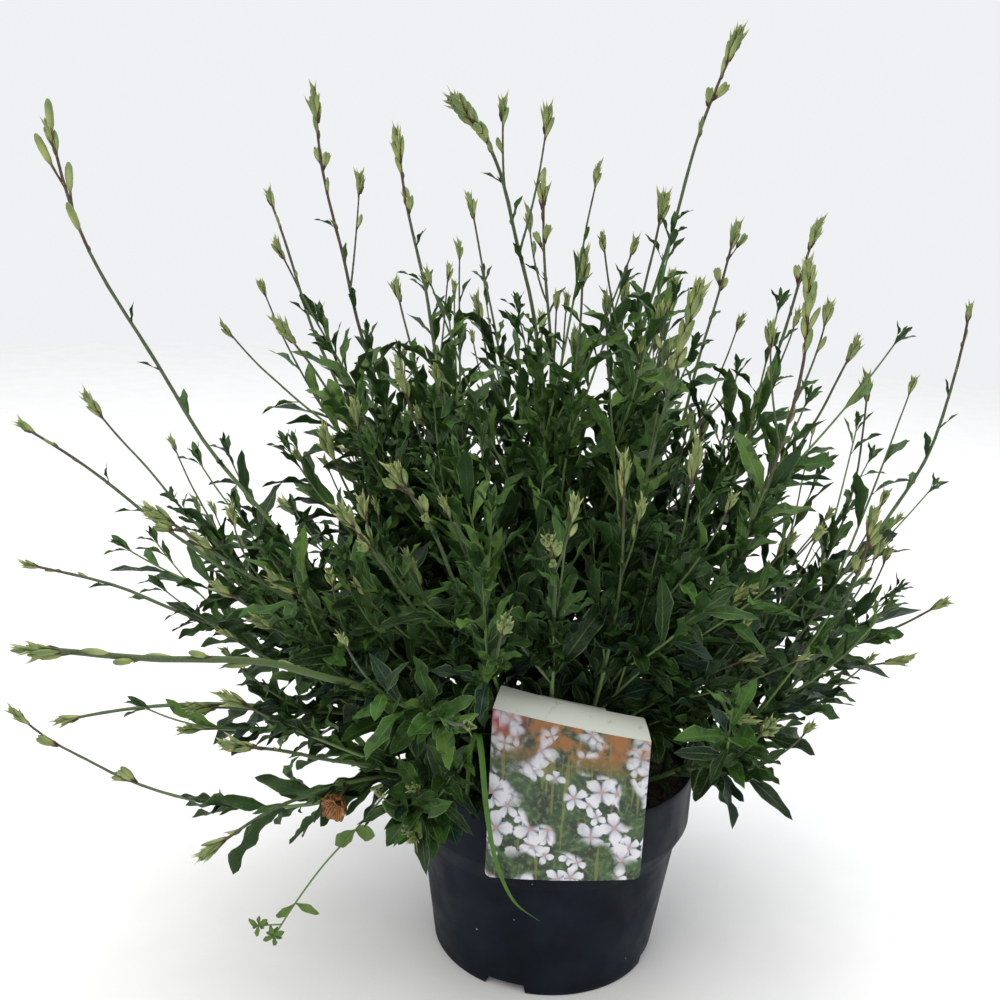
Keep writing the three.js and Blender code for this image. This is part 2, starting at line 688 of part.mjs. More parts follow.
function grassSolid() {
  const rings = GRASS.map((here, i) => {
    const before = GRASS[Math.max(0, i - 1)];
    const after = GRASS[Math.min(GRASS.length - 1, i + 1)];
    const [dy, dz] = i < 2 ? [0, 1] : [after.y - before.y, after.z - before.z];
    const size = Math.hypot(dy, dz);
    const keel = vec(here.x, here.y - (GRASS_THICK * dz) / size, here.z + (GRASS_THICK * dy) / size);
    if (here.half === 0) return [vec(here.x, here.y, here.z)];
    return [vec(here.x - here.half, here.y, here.z), vec(here.x + here.half, here.y, here.z), keel];
  });
  return skin(rings);
}

// Weed seedling that hangs over the pot's edge at the left, with its leaves in pairs.
const WEED = [
  vec(-70, -40, STEM_FOOT),
  vec(-70, -40, STEM_RISE),
  vec(-80, -46, 143),
  vec(-92, -53, 148),
  vec(-108, -60, 133),
  vec(-126, -70, 112),
  vec(-145, -81, 92),
  vec(-161, -90, 70),
  vec(-173, -96, 50),
];
const WEED_SIDE = vec(-0.5, 0.866, 0);
const WEED_RADIUS = 0.8;
const WEED_PAIRS = [
  { at: 5, length: 15 },
  { at: 7, length: 13 },
];
const WEED_TUFT = 4;

function weedSolid() {
  const rings = WEED.map((p, i) => {
    const before = WEED[Math.max(0, i - 1)];
    const after = WEED[Math.min(WEED.length - 1, i + 1)];
    const way = i < 2 ? UP.clone() : after.clone().sub(before).normalize();
    return ring(p, WEED_SIDE, WEED_SIDE.clone().cross(way).normalize(), WEED_RADIUS * (1 - 0.04 * i), 3);
  });
  const parts = [skin(rings)];
  const addLeaf = (point, aim, length) => {
    const face = UP.clone().addScaledVector(aim, -aim.z).normalize();
    const leaf = { point, aim, face, length, width: 0.42 * length, curl: 0.5 };
    parts.push(leafSolid(leaf, leafLine(leaf)));
  };
  for (const { at, length } of WEED_PAIRS) {
    const way = WEED[at + 1].clone().sub(WEED[at]).normalize();
    for (const turn of [-1, 1]) {
      addLeaf(WEED[at], vec(0.5 * turn, -0.8 * turn, 0.25).addScaledVector(way, 0.35).normalize(), length);
    }
  }
  const tip = WEED.at(-1).clone().lerp(WEED.at(-2), 0.04);
  for (let k = 0; k < WEED_TUFT; k += 1) {
    const a = (2 * Math.PI * k) / WEED_TUFT;
    addLeaf(tip, vec(0.8 * Math.cos(a), 0.8 * Math.sin(a), -0.35).normalize(), 10);
  }
  return wasm.Manifold.union(parts);
}

// Withered bloom on a short twig of the eighth stem.
const TWIG = { stem: 7, at: 13, turn: -110, foot: 110, tip: 110, length: 12 };
const BLOOM_PETALS = 5; // ragged lobes about its crumpled cup

function bloomSolid(twig) {
  const way = twig.ways.at(-1);
  const across = twig.side.clone().cross(way);
  const seat = twig.points.at(-1).clone().addScaledVector(way, GAP);
  const ruffle = (rise, radius, wave, turn) => {
    const points = [];
    for (let k = 0; k < 2 * BLOOM_PETALS; k += 1) {
      const a = (Math.PI * (k + turn)) / BLOOM_PETALS;
      const droop = chance(k + 1, rise, 31) * 2.5;
      const r = k % 2 === 0 ? radius + wave : radius - wave;
      points.push(
        seat.clone()
          .addScaledVector(twig.side, r * Math.cos(a))
          .addScaledVector(across, r * Math.sin(a))
          .addScaledVector(way, rise - (rise > 1 ? droop : 0)),
      );
    }
    return points;
  };
  return skin([
    ruffle(0, 0.8, 0, 0),
    ruffle(5, 6.5, 2.4, 0),
    ruffle(9, 7.5, 2.6, 0.4),
    ruffle(13, 4, 1.6, 0.9),
    ruffle(11, 1.4, 0.5, 1),
  ]);
}

function build() {
  const { all, families } = growShoots();
  const twig = makeShoot(all[TWIG.stem].points[TWIG.at].clone(), TWIG, FORK, all.length);
  // A three-sided hole stays clear of a three-sided foot where its corners are twice the gap further out.
  const hole = (point, side, radius) => ring(point, side, side.clone().cross(UP), radius + 2 * GAP, 3);
  const feet = families.map(([main]) => hole(main.points[0], main.side, MAIN.foot));
  feet.push(hole(WEED[0], WEED_SIDE, WEED_RADIUS));
  const grassHalf = { x: GRASS[0].half + 0.7, y: GRASS_THICK / 2 + 0.6 };
  const grassMiddle = vec(GRASS[0].x, GRASS[0].y - GRASS_THICK / 2, 0);
  const corners = [[-1, -1], [1, -1], [1, 1], [-1, 1]];
  feet.push(corners.map(([i, j]) => grassMiddle.clone().add(vec(i * grassHalf.x, j * grassHalf.y, 0))));

  const fixed = [
    { name: "pot", solid: potSolid(), colour: COLOURS.pot },
    { name: "soil", solid: soilSolid(feet), colour: COLOURS.soil },
    { name: "label", solid: labelSolid(), colour: COLOURS.label },
    { name: "grass_blade", solid: grassSolid(), colour: COLOURS.grass },
    { name: "weed_sprig", solid: weedSolid(), colour: COLOURS.weed },
    { name: "withered_bloom", solid: bloomSolid(twig), colour: COLOURS.bloom },
  ];
  const crowd = new Crowd();
  for (const { solid } of fixed) crowd.add(solid);

  const number = (i) => String(i + 1).padStart(2, "0");
  const spikes = [];
  const bodies = families.map(([main, ...forks], i) => {
    const parts = [{ solid: stemSolid(main), shoot: main }];
    for (const fork of forks) {
      parts.push({ solid: skin(shootTube(fork, 0, STEPS)), shoot: fork });
    }
    if (i === TWIG.stem) parts.push({ solid: skin(twigRings(twig)), shoot: twig });
    if (main.leafy < STEPS) {
      const tube = skin(shootTube(main, main.leafy, STEPS, GAP));
      const spike = wasm.Manifold.union([tube, ...spikeBuds(main)]);
      spikes.push({ name: `flower_spike_${number(i)}`, solid: spike, colour: COLOURS.spike });
    }
    return parts;
  });
  for (const parts of bodies) for (const { solid, shoot } of parts) crowd.add(solid, shoot);
  for (const { solid } of spikes) crowd.add(solid);

  const stems = families.map((family, i) => {
    const leaves = family.flatMap((shoot) => shootLeaves(shoot, crowd, LEAF_SHARE));
    const solid = wasm.Manifold.union([...bodies[i].map((part) => part.solid), ...leaves]);
    return { name: `leafy_stem_${number(i)}`, solid, colour: COLOURS.leaf };
  });

  const group = new THREE.Group();
  for (const { name, solid, colour } of [...fixed, ...stems, ...spikes]) {
    group.add(meshOf(solid, name, colour));
  }
  return group;
}

// The twig keeps a flat end, on which the bloom sits.
function twigRings(twig) {
  const across = twig.side.clone().cross(twig.ways[0]);
  return [0, STEPS].map((i) => ring(twig.points[i], twig.side, across, 0.9, 3));
}

export default build();
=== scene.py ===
# Potted gaura in bud: its looks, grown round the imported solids.
# The plant is worked out in millimetres by the rule that its solids follow, and its meshes are in metres.
import json
import math

import bpy
import numpy as np
from mathutils import Matrix, Vector, noise

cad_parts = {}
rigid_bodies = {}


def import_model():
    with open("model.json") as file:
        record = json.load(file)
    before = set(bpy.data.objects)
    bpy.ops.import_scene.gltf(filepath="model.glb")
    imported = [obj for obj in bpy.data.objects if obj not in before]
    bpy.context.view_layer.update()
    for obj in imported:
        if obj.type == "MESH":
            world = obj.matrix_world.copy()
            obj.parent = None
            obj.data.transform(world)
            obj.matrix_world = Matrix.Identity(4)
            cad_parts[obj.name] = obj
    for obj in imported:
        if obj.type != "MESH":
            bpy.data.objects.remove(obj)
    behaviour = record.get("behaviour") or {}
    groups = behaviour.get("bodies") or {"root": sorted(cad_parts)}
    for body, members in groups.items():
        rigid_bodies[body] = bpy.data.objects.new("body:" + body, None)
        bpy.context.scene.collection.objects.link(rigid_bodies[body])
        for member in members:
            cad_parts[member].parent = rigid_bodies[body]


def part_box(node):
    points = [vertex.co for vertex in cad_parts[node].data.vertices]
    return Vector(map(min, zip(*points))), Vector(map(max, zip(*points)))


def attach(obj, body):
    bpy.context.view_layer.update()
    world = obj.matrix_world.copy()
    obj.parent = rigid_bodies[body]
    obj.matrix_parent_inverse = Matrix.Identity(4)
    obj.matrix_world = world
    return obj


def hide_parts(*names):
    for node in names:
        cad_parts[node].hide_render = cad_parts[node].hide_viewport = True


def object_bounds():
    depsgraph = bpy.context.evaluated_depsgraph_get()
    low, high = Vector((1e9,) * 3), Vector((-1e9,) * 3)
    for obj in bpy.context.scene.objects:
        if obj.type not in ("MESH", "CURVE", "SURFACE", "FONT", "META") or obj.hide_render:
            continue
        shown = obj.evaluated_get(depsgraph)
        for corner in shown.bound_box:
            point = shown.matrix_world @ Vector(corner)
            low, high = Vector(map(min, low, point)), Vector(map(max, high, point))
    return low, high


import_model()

bl_info = {
    "name": "Potted gaura",
    "version": (1, 0, 0),
    "blender": (4, 5, 0),
    "location": "3D View > Sidebar > Gaura",
    "description": "Grows a gaura in bud, in its nursery pot with its picture label",
    "category": "Add Mesh",
}

CAD_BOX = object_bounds()
MM = 0.001
BODY = "root"
UP = np.array([0.0, 0.0, 1.0])

# Camera: its place in metres, its pitch and roll in degrees and its lens in millimetres
CAMERA_PLACE = (-0.044, -0.7534, 0.5169)
CAMERA_PITCH = -15
CAMERA_ROLL = 2.7
CAMERA_LENS = 43.2

# Floor, in metres
FLOOR_RADIUS = 3
FLOOR_SIDES = 64

# Pot, in millimetres
POT_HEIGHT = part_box("pot")[1].z / MM
RIM_RADIUS = 96.5
STEP_RADIUS = 88.4
STEP_HEIGHT = 86
COLLAR_FOOT = 101
BASE_RADIUS = 76.5
POT_WALL = 1.6
FLOOR_TOP = 4.6
NOTCH = {"width": 28, "height": 7, "depth": 10, "turns": (-110, -20, 70, 160)}
DRAIN = {"count": 6, "radius": 4.5, "ring": 40}
SOIL_TOP = 126
SOIL_SIDES = 120
SOIL_RINGS = 44
CRUMB_DENSITY = 42000.0
CRUMB_SEED = 5
CRUMB_LEAST = (0.5, 0.4, 0.3)
CRUMB_MOST = (1.6, 1.3, 1.0)

# Label, in millimetres
LABEL = {"middle": 5.5, "width": 96, "foot": 100, "left": 212, "right": 195, "face": -97.8, "bow": 0.0013}
LABEL_THICK = 0.6
CARD_CORNER = 4
CARD_ROWS = 24
# How the header and the tongue go on past the fold: each step's rise, and its tilt from upright in degrees
HEADER_BENDS = [(2, 4), (2, 10), (2, 20), (2, 30), (2, 40), (2, 50), (2, 61), (1, 70)]
TONGUE_BENDS = [(3, 76), (2, 95), (2, 110), (2, 128), (2, 145), (2, 162)]
TONGUE_WIDTH = 40
# Where the header ends, and how far the leaves stay out of the camera's sight of the bloom and the card
HEADER_TOP = 234
HEADER_FACE = -85
BLOOM_CLEARANCE = 14
CARD_CLEARANCE = 4

# Stems, in millimetres and degrees. A stem leaves its ring in the soil at its turn about the pot, and its
# lean from upright runs from foot to tip. It is leafy for so many of its steps, and a spike follows.
STEPS = 24
STEM_FOOT = 112
STEM_RISE = 128
SHOOT_SPACING = 5
SWAY = 1.6
SWAY_LENGTH = 30
GOLDEN_TURN = 137.5
FORK_LEAFY = 18

# How a kind of shoot is built: its radius at foot and tip, the size of its leaves and how far apart they
# stand. Fine shoots and risers fill a stem's family out, and twiglets are the branches of a spike.
MAIN = {"foot": 1.7, "tip": 0.8, "leaf": 1, "pitch": 5.5}
FORK = {"foot": 1.15, "tip": 0.65, "leaf": 0.86, "pitch": 5.5}
FINE = {"foot": 0.8, "tip": 0.5, "leaf": 0.76, "pitch": 8}
RISER = {"foot": 0.95, "tip": 0.45, "leaf": 0.7, "pitch": 12}
TWIGLET = {"foot": 0.7, "tip": 0.45}

# A leaf: how near the shoot's ends it may stand, its least length and what that gains along the shoot, its
# width as a share of its length, and the degrees that it opens, less towards the tip.
LEAF = {"start": 9, "end": 4, "length": 16, "gain": 36, "width": 0.16, "more_width": 0.14,
        "opening": 35, "closing": 14, "spread": 40}

# The leafy crown, whose middle is at its height. Past its edge the leaves grow fewer, and more so low on the
# left and on the right. Their tones carry painted shade and light: darker deep inside the crown, lighter
# outwards, and lighter still high up, where painted light from above falls.
CROWN = {"height": 160, "reach": 200, "rise": 250, "edge": 0.88, "thinning": 1.1, "barest": 0.55}
THIN_LEFT = {"x": -95, "z": 205, "leaves": 0.55, "shoots": 0.85}
THIN_RIGHT = {"x": 110, "leaves": 0.34}
LIGHT = {"least": 0.12, "outwards": 0.92, "most": 1.1, "painted_top_light": 0.42, "height": 250, "rise": 120}
LIGHTEST_TONE = 0.93

# A bouquet of buds at a shoot's tip: how far back its first bud stands and each next one, how far the buds
# fan out, and a bud's length and width.
TUFT = {"back": 6, "step": 1.5, "spread": 0.05, "more_spread": 0.24, "length": 13, "more_length": 5,
        "width": 2.5, "more_width": 0.7}

# Sprays, which a stem has besides its forks, in steps, degrees and millimetres: where they start, how far
# they turn aside, lean out and rise or droop again, and their length as a share of the stem's.
SPRAY = {"start": 4, "apart": 3, "tries": 12, "turn": 26, "more_turn": 34, "lean": 6, "more_lean": 20,
         "most_lean": 76, "rise": 24, "droop": 38, "share": 0.4, "more_share": 0.2, "longest": 210,
         "off_stem": 2.2, "room": 3}

# Fine shoots: the first step at which they leave a stem or a fork and how far apart, how far they stand off
# it, their length, the share that ends in buds and their lean at the tip against that at the foot. A riser
# goes on past the leaves of a stem that is long and upright enough.
FILLING = {"on_stem": (4, 4), "on_fork": (5, 7), "spread": 0.28, "more_spread": 0.3, "length": 45,
           "more_length": 30, "share": 0.5, "more_share": 0.6, "longest": 190, "budded": 0.35, "leafy": 15,
           "lean": 0.45, "more_lean": 0.35}
RISING = {"stem": 280, "lean": 36, "more_spread": 0.2, "past": 30, "more_past": 70, "leafy": 20}

# What the shoots keep out of: a band of the pot's rim, and a box about the label.
RIM_BAND = 3
KEEP_OUT = {"back": -76, "front": -99, "foot": 95, "top": 228}


def stem(turn, ring, foot, tip, length, bow=1, leafy=16):
    return dict(turn=turn, ring=ring, foot=foot, tip=tip, length=length, bow=bow, leafy=leafy)


def fork(at, turn, foot, tip, length, leafy=FORK_LEAFY):
    return dict(at=at, turn=turn, foot=foot, tip=tip, length=length, leafy=leafy)


STEMS = [
    stem(-164, 30, 43, 14, 490, bow=2.5, leafy=12),
    stem(-170, 44, 50, 52, 370),
    stem(-154, 52, 29, 55, 290, bow=0.5),
    stem(175, 58, 60, 78, 330),
    stem(-133, 42, 22, 76, 370, bow=0.4, leafy=12),
    stem(-130, 58, 60, 66, 235),
    stem(-174, 60, 59, 104, 270, bow=0.9, leafy=24),
    stem(-141, 62, 56, 112, 200),
    stem(-123, 27, 38, 43, 295, bow=0.8),
    stem(161, 27, 31, 21, 415, bow=2),
    stem(174, 19, 24, 5, 455, bow=3),
    stem(-175, 9, 19, 10, 420),
    stem(-115, 15, 5, 70, 475, bow=3),
    stem(-116, 38, 23, 41, 305, bow=0.5),
    stem(-95, 50, 9, 57, 285, bow=0.8),
    stem(-73, 24, 35, -12, 250, bow=1.5),
    stem(-65, 37, 11, 19, 345),
    stem(-22, 12, 0, 17, 475, leafy=12),
    stem(-38, 36, 28, -7, 370, bow=2.5),
    stem(7, 26, 23, 14, 385),
    stem(3, 46, 48, -3, 390, bow=2.2),
    stem(-25, 58, 62, 3, 255),
    stem(122, 17, 0, 13, 385, bow=1.8),
    stem(44, 30, 22, 16, 380),
    stem(68, 50, 52, 30, 300),
    stem(95, 40, 30, 35, 330),
    stem(130, 52, 58, 45, 310),
    stem(35, 60, 62, 80, 265, leafy=24),
]

# Forks that leave a stem, by its number, at one of its steps.
FORKS = [
    (0, fork(4, -155, 25, 7, 200)),
    (1, fork(4, 171, 60, 38, 300)),
    (7, fork(8, 171, 124, 52, 275)),
    (16, fork(5, -51, 41, 2, 190)),
    (18, fork(2, -52, 34, 82, 125)),
    (20, fork(4, 26, 67, -10, 270)),
    (21, fork(3, 6, 66, 32, 150)),
    (22, fork(3, 132, 11, 22, 335)),
    (23, fork(5, 44, -10, 23, 260)),
    (24, fork(5, 84, 29, -9, 285)),
    (25, fork(5, 139, 19, 18, 250)),
]
TWIG = {"stem": 7, "at": 13, "turn": -110, "foot": 110, "tip": 110, "length": 12, "leafy": 0}

# Leaf and bud shapes: how many of each kind the shoots choose from. Leaves come in steps of curl, and their
# folds and waves are set for the aspect, their width over their length.
CURLS = 4
LEAF_KINDS = 12
SMALL_KINDS = 4
BUD_KINDS = 4
BRACT_KINDS = 3
FIRST_SMALL = LEAF_KINDS
FIRST_BUD = FIRST_SMALL + SMALL_KINDS
FIRST_BRACT = FIRST_BUD + BUD_KINDS
LEAF_ASPECT = 0.25

# Stems by what their spikes carry: buds about to open, an ear of many buds, few and slender ones, or buds
# pressed to the stem. The rest end in a bouquet. Flushed stems are red all along.
OPENING = (0,)
EARS = (12, 16, 18)
SLENDER = (1, 3, 9, 20)
PRESSED = (4,)
FLUSHED = (10, 18)

# Spikes, in millimetres back from the tip or as a share of the stem's leafy or bare part.
OPENING_REACH = 75
EAR_REACH = 46
EAR_STEP = 3.4
RISER_START = 0.75
LEAFLET_START = 0.42

# The fork that trails without fine shoots, how far back its buds stand, and the shoots of another girth.
TRAILING = 30
TRAILING_BUDS = (34, 86, 91)
THICK = {3: 1.15, 4: 1.7, 6: 1.25, 30: 1.15}


def linear(colour):
    """Linear red, green, blue and alpha of an sRGB hex value."""
    parts = [int(colour[i:i + 2], 16) / 255 for i in (0, 2, 4)]
    return [c / 12.92 if c <= 0.04045 else ((c + 0.055) / 1.055) ** 2.4 for c in parts] + [1.0]


def colour_prop(name, description, value):
    return bpy.props.FloatVectorProperty(
        name=name, description=description, default=linear(value), size=4, subtype="COLOR", min=0, max=1)


class GAURA_PG_pot(bpy.types.PropertyGroup):
    colour: colour_prop("Plastic", "Colour of the pot's plastic", "070e17")
    dust: colour_prop("Dust", "Colour of the dry dust and scuffs on the pot", "1a2634")
    soil: colour_prop("Soil", "Colour of the potting soil", "2c231c")
    sides: bpy.props.IntProperty(
        name="Sides", description="Steps round the pot", default=120, min=24, max=240)


class GAURA_PG_plant(bpy.types.PropertyGroup):
    deep: colour_prop("Deep leaf", "Colour of the darkest leaves", "0f1e0a")
    light: colour_prop("Light leaf", "Colour of the lightest leaves", "375c1b")
    under: colour_prop("Underside", "Colour of a leaf's underside", "263d22")
    rib: colour_prop("Rib", "Colour of a leaf's midrib and margin", "6d8a50")
    green_stem: colour_prop("Green stem", "Colour of a stem low down", "3e4f30")
    red_stem: colour_prop("Red stem", "Colour of a stem under its buds", "3f2524")
    bud: colour_prop("Bud", "Colour of the palest buds", "959e5a")
    bud_dark: colour_prop("Dark bud", "Colour of the darkest buds", "5b7040")
    bud_foot: colour_prop("Bud foot", "Colour at the foot of a bud", "4e2a26")
    leaf_scale: bpy.props.FloatProperty(
        name="Leaf size", description="Size of the leaves against the rule's own", default=1,
        min=0.5, max=1.5, subtype="FACTOR")
    stem_sides: bpy.props.IntProperty(
        name="Stem sides", description="Sides of a stem", default=7, min=4, max=16)


class GAURA_PG_label(bpy.types.PropertyGroup):
    card: colour_prop("Card", "Colour of the unprinted card", "c9ccc0")
    ground: colour_prop("Ground", "Green of the printed picture", "37542f")
    blossom: colour_prop("Blossom", "Colour of the printed blossoms", "dcdbe1")
    warm: colour_prop("Warm blur", "Colour of the blur at the picture's top", "a05f26")


class GAURA_PG_stage(bpy.types.PropertyGroup):
    floor: colour_prop("Floor", "Colour of the floor", "f4f4f2")
    light: bpy.props.FloatProperty(
        name="Sky", description="Strength of the soft light from all round", default=0.9,
        min=0, max=4)
    key: bpy.props.FloatProperty(
        name="Key light", description="Power of the large soft light", default=20,
        min=0, max=200, unit="POWER")


# Meshes

def piece(name, mesh):
    """A new object of the mesh, in the scene, at the origin."""
    made = bpy.data.objects.new(name, mesh)
    bpy.context.scene.collection.objects.link(made)
    return made


def mesh_of(name, points, faces, materials=(), indices=None, uvs=None, sharp=math.radians(40)):
    """A mesh from points in millimetres, smooth but for its edges that bend more than sharp."""
    mesh = bpy.data.meshes.new(name)
    mesh.from_pydata([tuple(float(c) * MM for c in p) for p in points], [], faces)
    for material in materials:
        mesh.materials.append(material)
    if indices is not None:
        mesh.polygons.foreach_set("material_index", indices)
    if uvs is not None:
        layer = mesh.uv_layers.new(name="UVMap")
        layer.uv.foreach_set("vector", np.asarray(uvs, np.float32).ravel())
    mesh.polygons.foreach_set("use_smooth", [True] * len(mesh.polygons))
    mesh.set_sharp_from_angle(angle=sharp)
    return mesh


def skin(rings):
    """Closed skin over rings of points that follow one another. A ring of one point is a sharp end."""
    points, faces, base = [], [], 0
    for here, after in zip(rings, rings[1:]):
        points.extend(here)
        h, a = len(here), len(after)
        for k in range(max(h, a)):
            face = [base + k % h, base + (k + 1) % h, base + h + (k + 1) % a, base + h + k % a]
            faces.append(list(dict.fromkeys(face)))
        base += h
    points.extend(rings[-1])
    if len(rings[0]) > 2:
        faces.append(list(range(len(rings[0])))[::-1])
    if len(rings[-1]) > 2:
        faces.append([base + k for k in range(len(rings[-1]))])
    return points, faces


def outwards(mesh):
    """Turns a closed mesh's faces outwards by the sign of its volume."""
    mesh.calc_loop_triangles()
    points = np.zeros(len(mesh.vertices) * 3)
    mesh.vertices.foreach_get("co", points)
    points = points.reshape(-1, 3)
    corners = np.zeros(len(mesh.loop_triangles) * 3, np.int32)
    mesh.loop_triangles.foreach_get("vertices", corners)
    a, b, c = (points[corners.reshape(-1, 3)[:, i]] for i in range(3))
    if np.einsum("ij,ij->i", a, np.cross(b, c)).sum() < 0:
        mesh.flip_normals()
    return mesh


def sheet(fronts, backs):
    """Closed sheet between rows of front and back points. The tags tell front, back and rim."""
    rows, columns = len(fronts), len(fronts[0])
    points = [p for row in fronts for p in row] + [p for row in backs for p in row]
    shift = rows * columns
    faces, tags = [], []
    for i in range(rows - 1):
        for j in range(columns - 1):
            a = i * columns + j
            faces.append([a, a + 1, a + columns + 1, a + columns])
            faces.append([a + shift, a + columns + shift, a + columns + 1 + shift, a + 1 + shift])
            tags += ["front", "back"]
    rim = list(range(columns - 1))
    rim += [i * columns + columns - 1 for i in range(rows - 1)]
    rim += [(rows - 1) * columns + j for j in range(columns - 1, 0, -1)]
    rim += [i * columns for i in range(rows - 1, 0, -1)]
    for a, b in zip(rim, rim[1:] + rim[:1]):
        faces.append([b, a, a + shift, b + shift])
        tags.append("rim")
    return points, faces, tags


def circle(radius, z, sides, middle=(0, 0)):
    """Points round a level circle."""
    angles = np.linspace(0, 2 * math.pi, sides, endpoint=False)
    return [(middle[0] + radius * math.cos(a), middle[1] + radius * math.sin(a), z) for a in angles]


def turned(name, outline, sides):
    """Turned solid from its outline of radius and height, which starts and ends on the axis."""
    angles = np.arange(sides) * 2 * math.pi / sides
    rings = []
    for r, z in outline:
        if r == 0:
            rings.append([(0, 0, z)])
        else:
            rings.append([(r * math.cos(a), r * math.sin(a), z) for a in angles])
    return outwards(mesh_of(name, *skin(rings)))


def finish_piece(made, slot, *nodes):
    """Lets a piece stand for its nodes: fixes it to the body and hides the nodes.
    The slot is not used.
    """
    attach(made, BODY)
    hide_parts(*nodes)
    return made


def evaluated(made):
    """A plain mesh of the object with its modifiers, which are then taken off."""
    graph = bpy.context.evaluated_depsgraph_get()
    result = made.evaluated_get(graph)
    mesh = bpy.data.meshes.new_from_object(result, preserve_all_data_layers=True, depsgraph=graph)
    made.modifiers.clear()
    made.data = mesh
    return made


def remove(made):
    data = made.data
    bpy.data.objects.remove(made)
    bpy.data.meshes.remove(data)


# Nodes

def add(tree, kind, inputs=None, **settings):
    """Adds a node with its settings, and its inputs as values or links."""
    made = tree.nodes.new(kind)
    for name, value in settings.items():
        setattr(made, name, value)
    for key, value in (inputs or {}).items():
        if isinstance(value, bpy.types.NodeSocket):
            tree.links.new(value, made.inputs[key])
        else:
            made.inputs[key].default_value = value
    return made


# Nodes under short names: kind, settings, inputs in their order, and output. Other names are Math operations.
SHORT = {
    "MIX": ("ShaderNodeMix", {"data_type": "RGBA"}, (0, 6, 7), 2),
    "RANGE": ("ShaderNodeMapRange", {"interpolation_type": "SMOOTHSTEP"}, range(5), 0),
    "MAPPED": ("ShaderNodeMapping", {}, ("Vector", "Scale"), 0),
    "BUMP": ("ShaderNodeBump", {}, ("Height", "Distance", "Strength"), 0),
    "NOISE": ("ShaderNodeTexNoise", {}, ("Vector", "Scale", "Detail"), "Fac"),
    "BELOW": ("FunctionNodeCompare", {"data_type": "INT", "operation": "LESS_THAN"}, (2, 3), 0),
    "FROM": ("FunctionNodeCompare", {"data_type": "INT", "operation": "GREATER_EQUAL"}, (2, 3), 0),
    "TONE": ("ShaderNodeAttribute", {"attribute_name": "tone"}, (), "Fac"),
    "OBJECT": ("ShaderNodeTexCoord", {}, (), "Object"),
    "UV": ("ShaderNodeTexCoord", {}, (), "UV"),
}


def put(tree, name, *inputs):
    """The output of a new node under its short name, with its inputs in their order."""
    kind, settings, order, output = SHORT.get(name, ("ShaderNodeMath", {"operation": name}, range(3), 0))
    return add(tree, kind, dict(zip(order, inputs)), **settings).outputs[output]


def grain(tree, size, detail=2.0, stretch=None):
    """Noise whose grain is about size millimetres across."""
    place = put(tree, "OBJECT")
    if stretch:
        place = put(tree, "MAPPED", place, stretch)
    return put(tree, "NOISE", place, 1 / (size * MM), detail)


def across_and_along(tree):
    """A blade's own coordinates: across it, past 1 on its underside, and along it from foot to tip."""
    return add(tree, "ShaderNodeSeparateXYZ", {0: put(tree, "UV")}).outputs[:2]


def shader_of(made):
    return next(n for n in made.node_tree.nodes if n.type == "BSDF_PRINCIPLED")


def material(name, **constants):
    """A material with one Principled shader, whose own values are the constants, and its node tree."""
    made = bpy.data.materials.new(name)
    made.use_nodes = True
    for key, value in constants.items():
        shader_of(made).inputs[key.replace("_", " ")].default_value = value
    return made, made.node_tree


def surface(made, colour, roughness=None, relief=None, depth=0.0, strength=1.0):
    """Gives a material its colour and, where given, its roughness and a relief of depth millimetres."""
    tree, shader = made.node_tree, shader_of(made)
    tree.links.new(colour, shader.inputs["Base Color"])
    if roughness:
        tree.links.new(roughness, shader.inputs["Roughness"])
    if relief:
        tree.links.new(put(tree, "BUMP", relief, depth * MM, strength), shader.inputs["Normal"])
    return made


# Materials

def pot_plastic(look):
    """Moulded black polypropylene, used: matt, a little blue, with dusty patches, streaks and pale specks."""
    made, tree = material("moulded_polypropylene", IOR=1.49, Specular_IOR_Level=0.1)
    patch = put(tree, "RANGE", grain(tree, 42, 3), 0.35, 0.7)
    streaks = put(tree, "RANGE", grain(tree, 5, 4, (1, 1, 0.12)), 0.55, 0.85)
    colour = put(tree, "MIX", put(tree, "MULTIPLY", patch, 0.35), look.colour, look.dust)
    colour = put(tree, "MIX", put(tree, "MULTIPLY", streaks, 0.22), colour, look.dust)
    specks = add(tree, "ShaderNodeTexVoronoi", {"Vector": put(tree, "OBJECT"), "Scale": 1 / (11 * MM)})
    draw = add(tree, "ShaderNodeSeparateColor", {0: specks.outputs["Color"]}).outputs[0]
    dot = put(tree, "LESS_THAN", specks.outputs["Distance"], 0.05)
    dot = put(tree, "MULTIPLY", dot, put(tree, "GREATER_THAN", draw, 0.8))
    colour = put(tree, "MIX", dot, colour, linear("a9aaa4"))
    rough = put(tree, "RANGE", grain(tree, 18, 4), 0.3, 0.7, 0.42, 0.6)
    return surface(made, colour, rough, grain(tree, 0.9, 2), 0.04)


def soil_material(look):
    """Peat potting soil: dark, rough and crumbly, with paler fibres."""
    made, tree = material("peat_soil", Roughness=0.95)
    crumbs = grain(tree, 2.4, 5)
    colour = put(tree, "MIX", put(tree, "RANGE", crumbs, 0.35, 0.7), look.soil, linear("54463a"))
    fibre = put(tree, "RANGE", grain(tree, 3.5, 3, (1, 0.2, 1)), 0.66, 0.74)
    colour = put(tree, "MIX", fibre, colour, linear("7a6448"))
    return surface(made, colour, None, crumbs, 0.8)


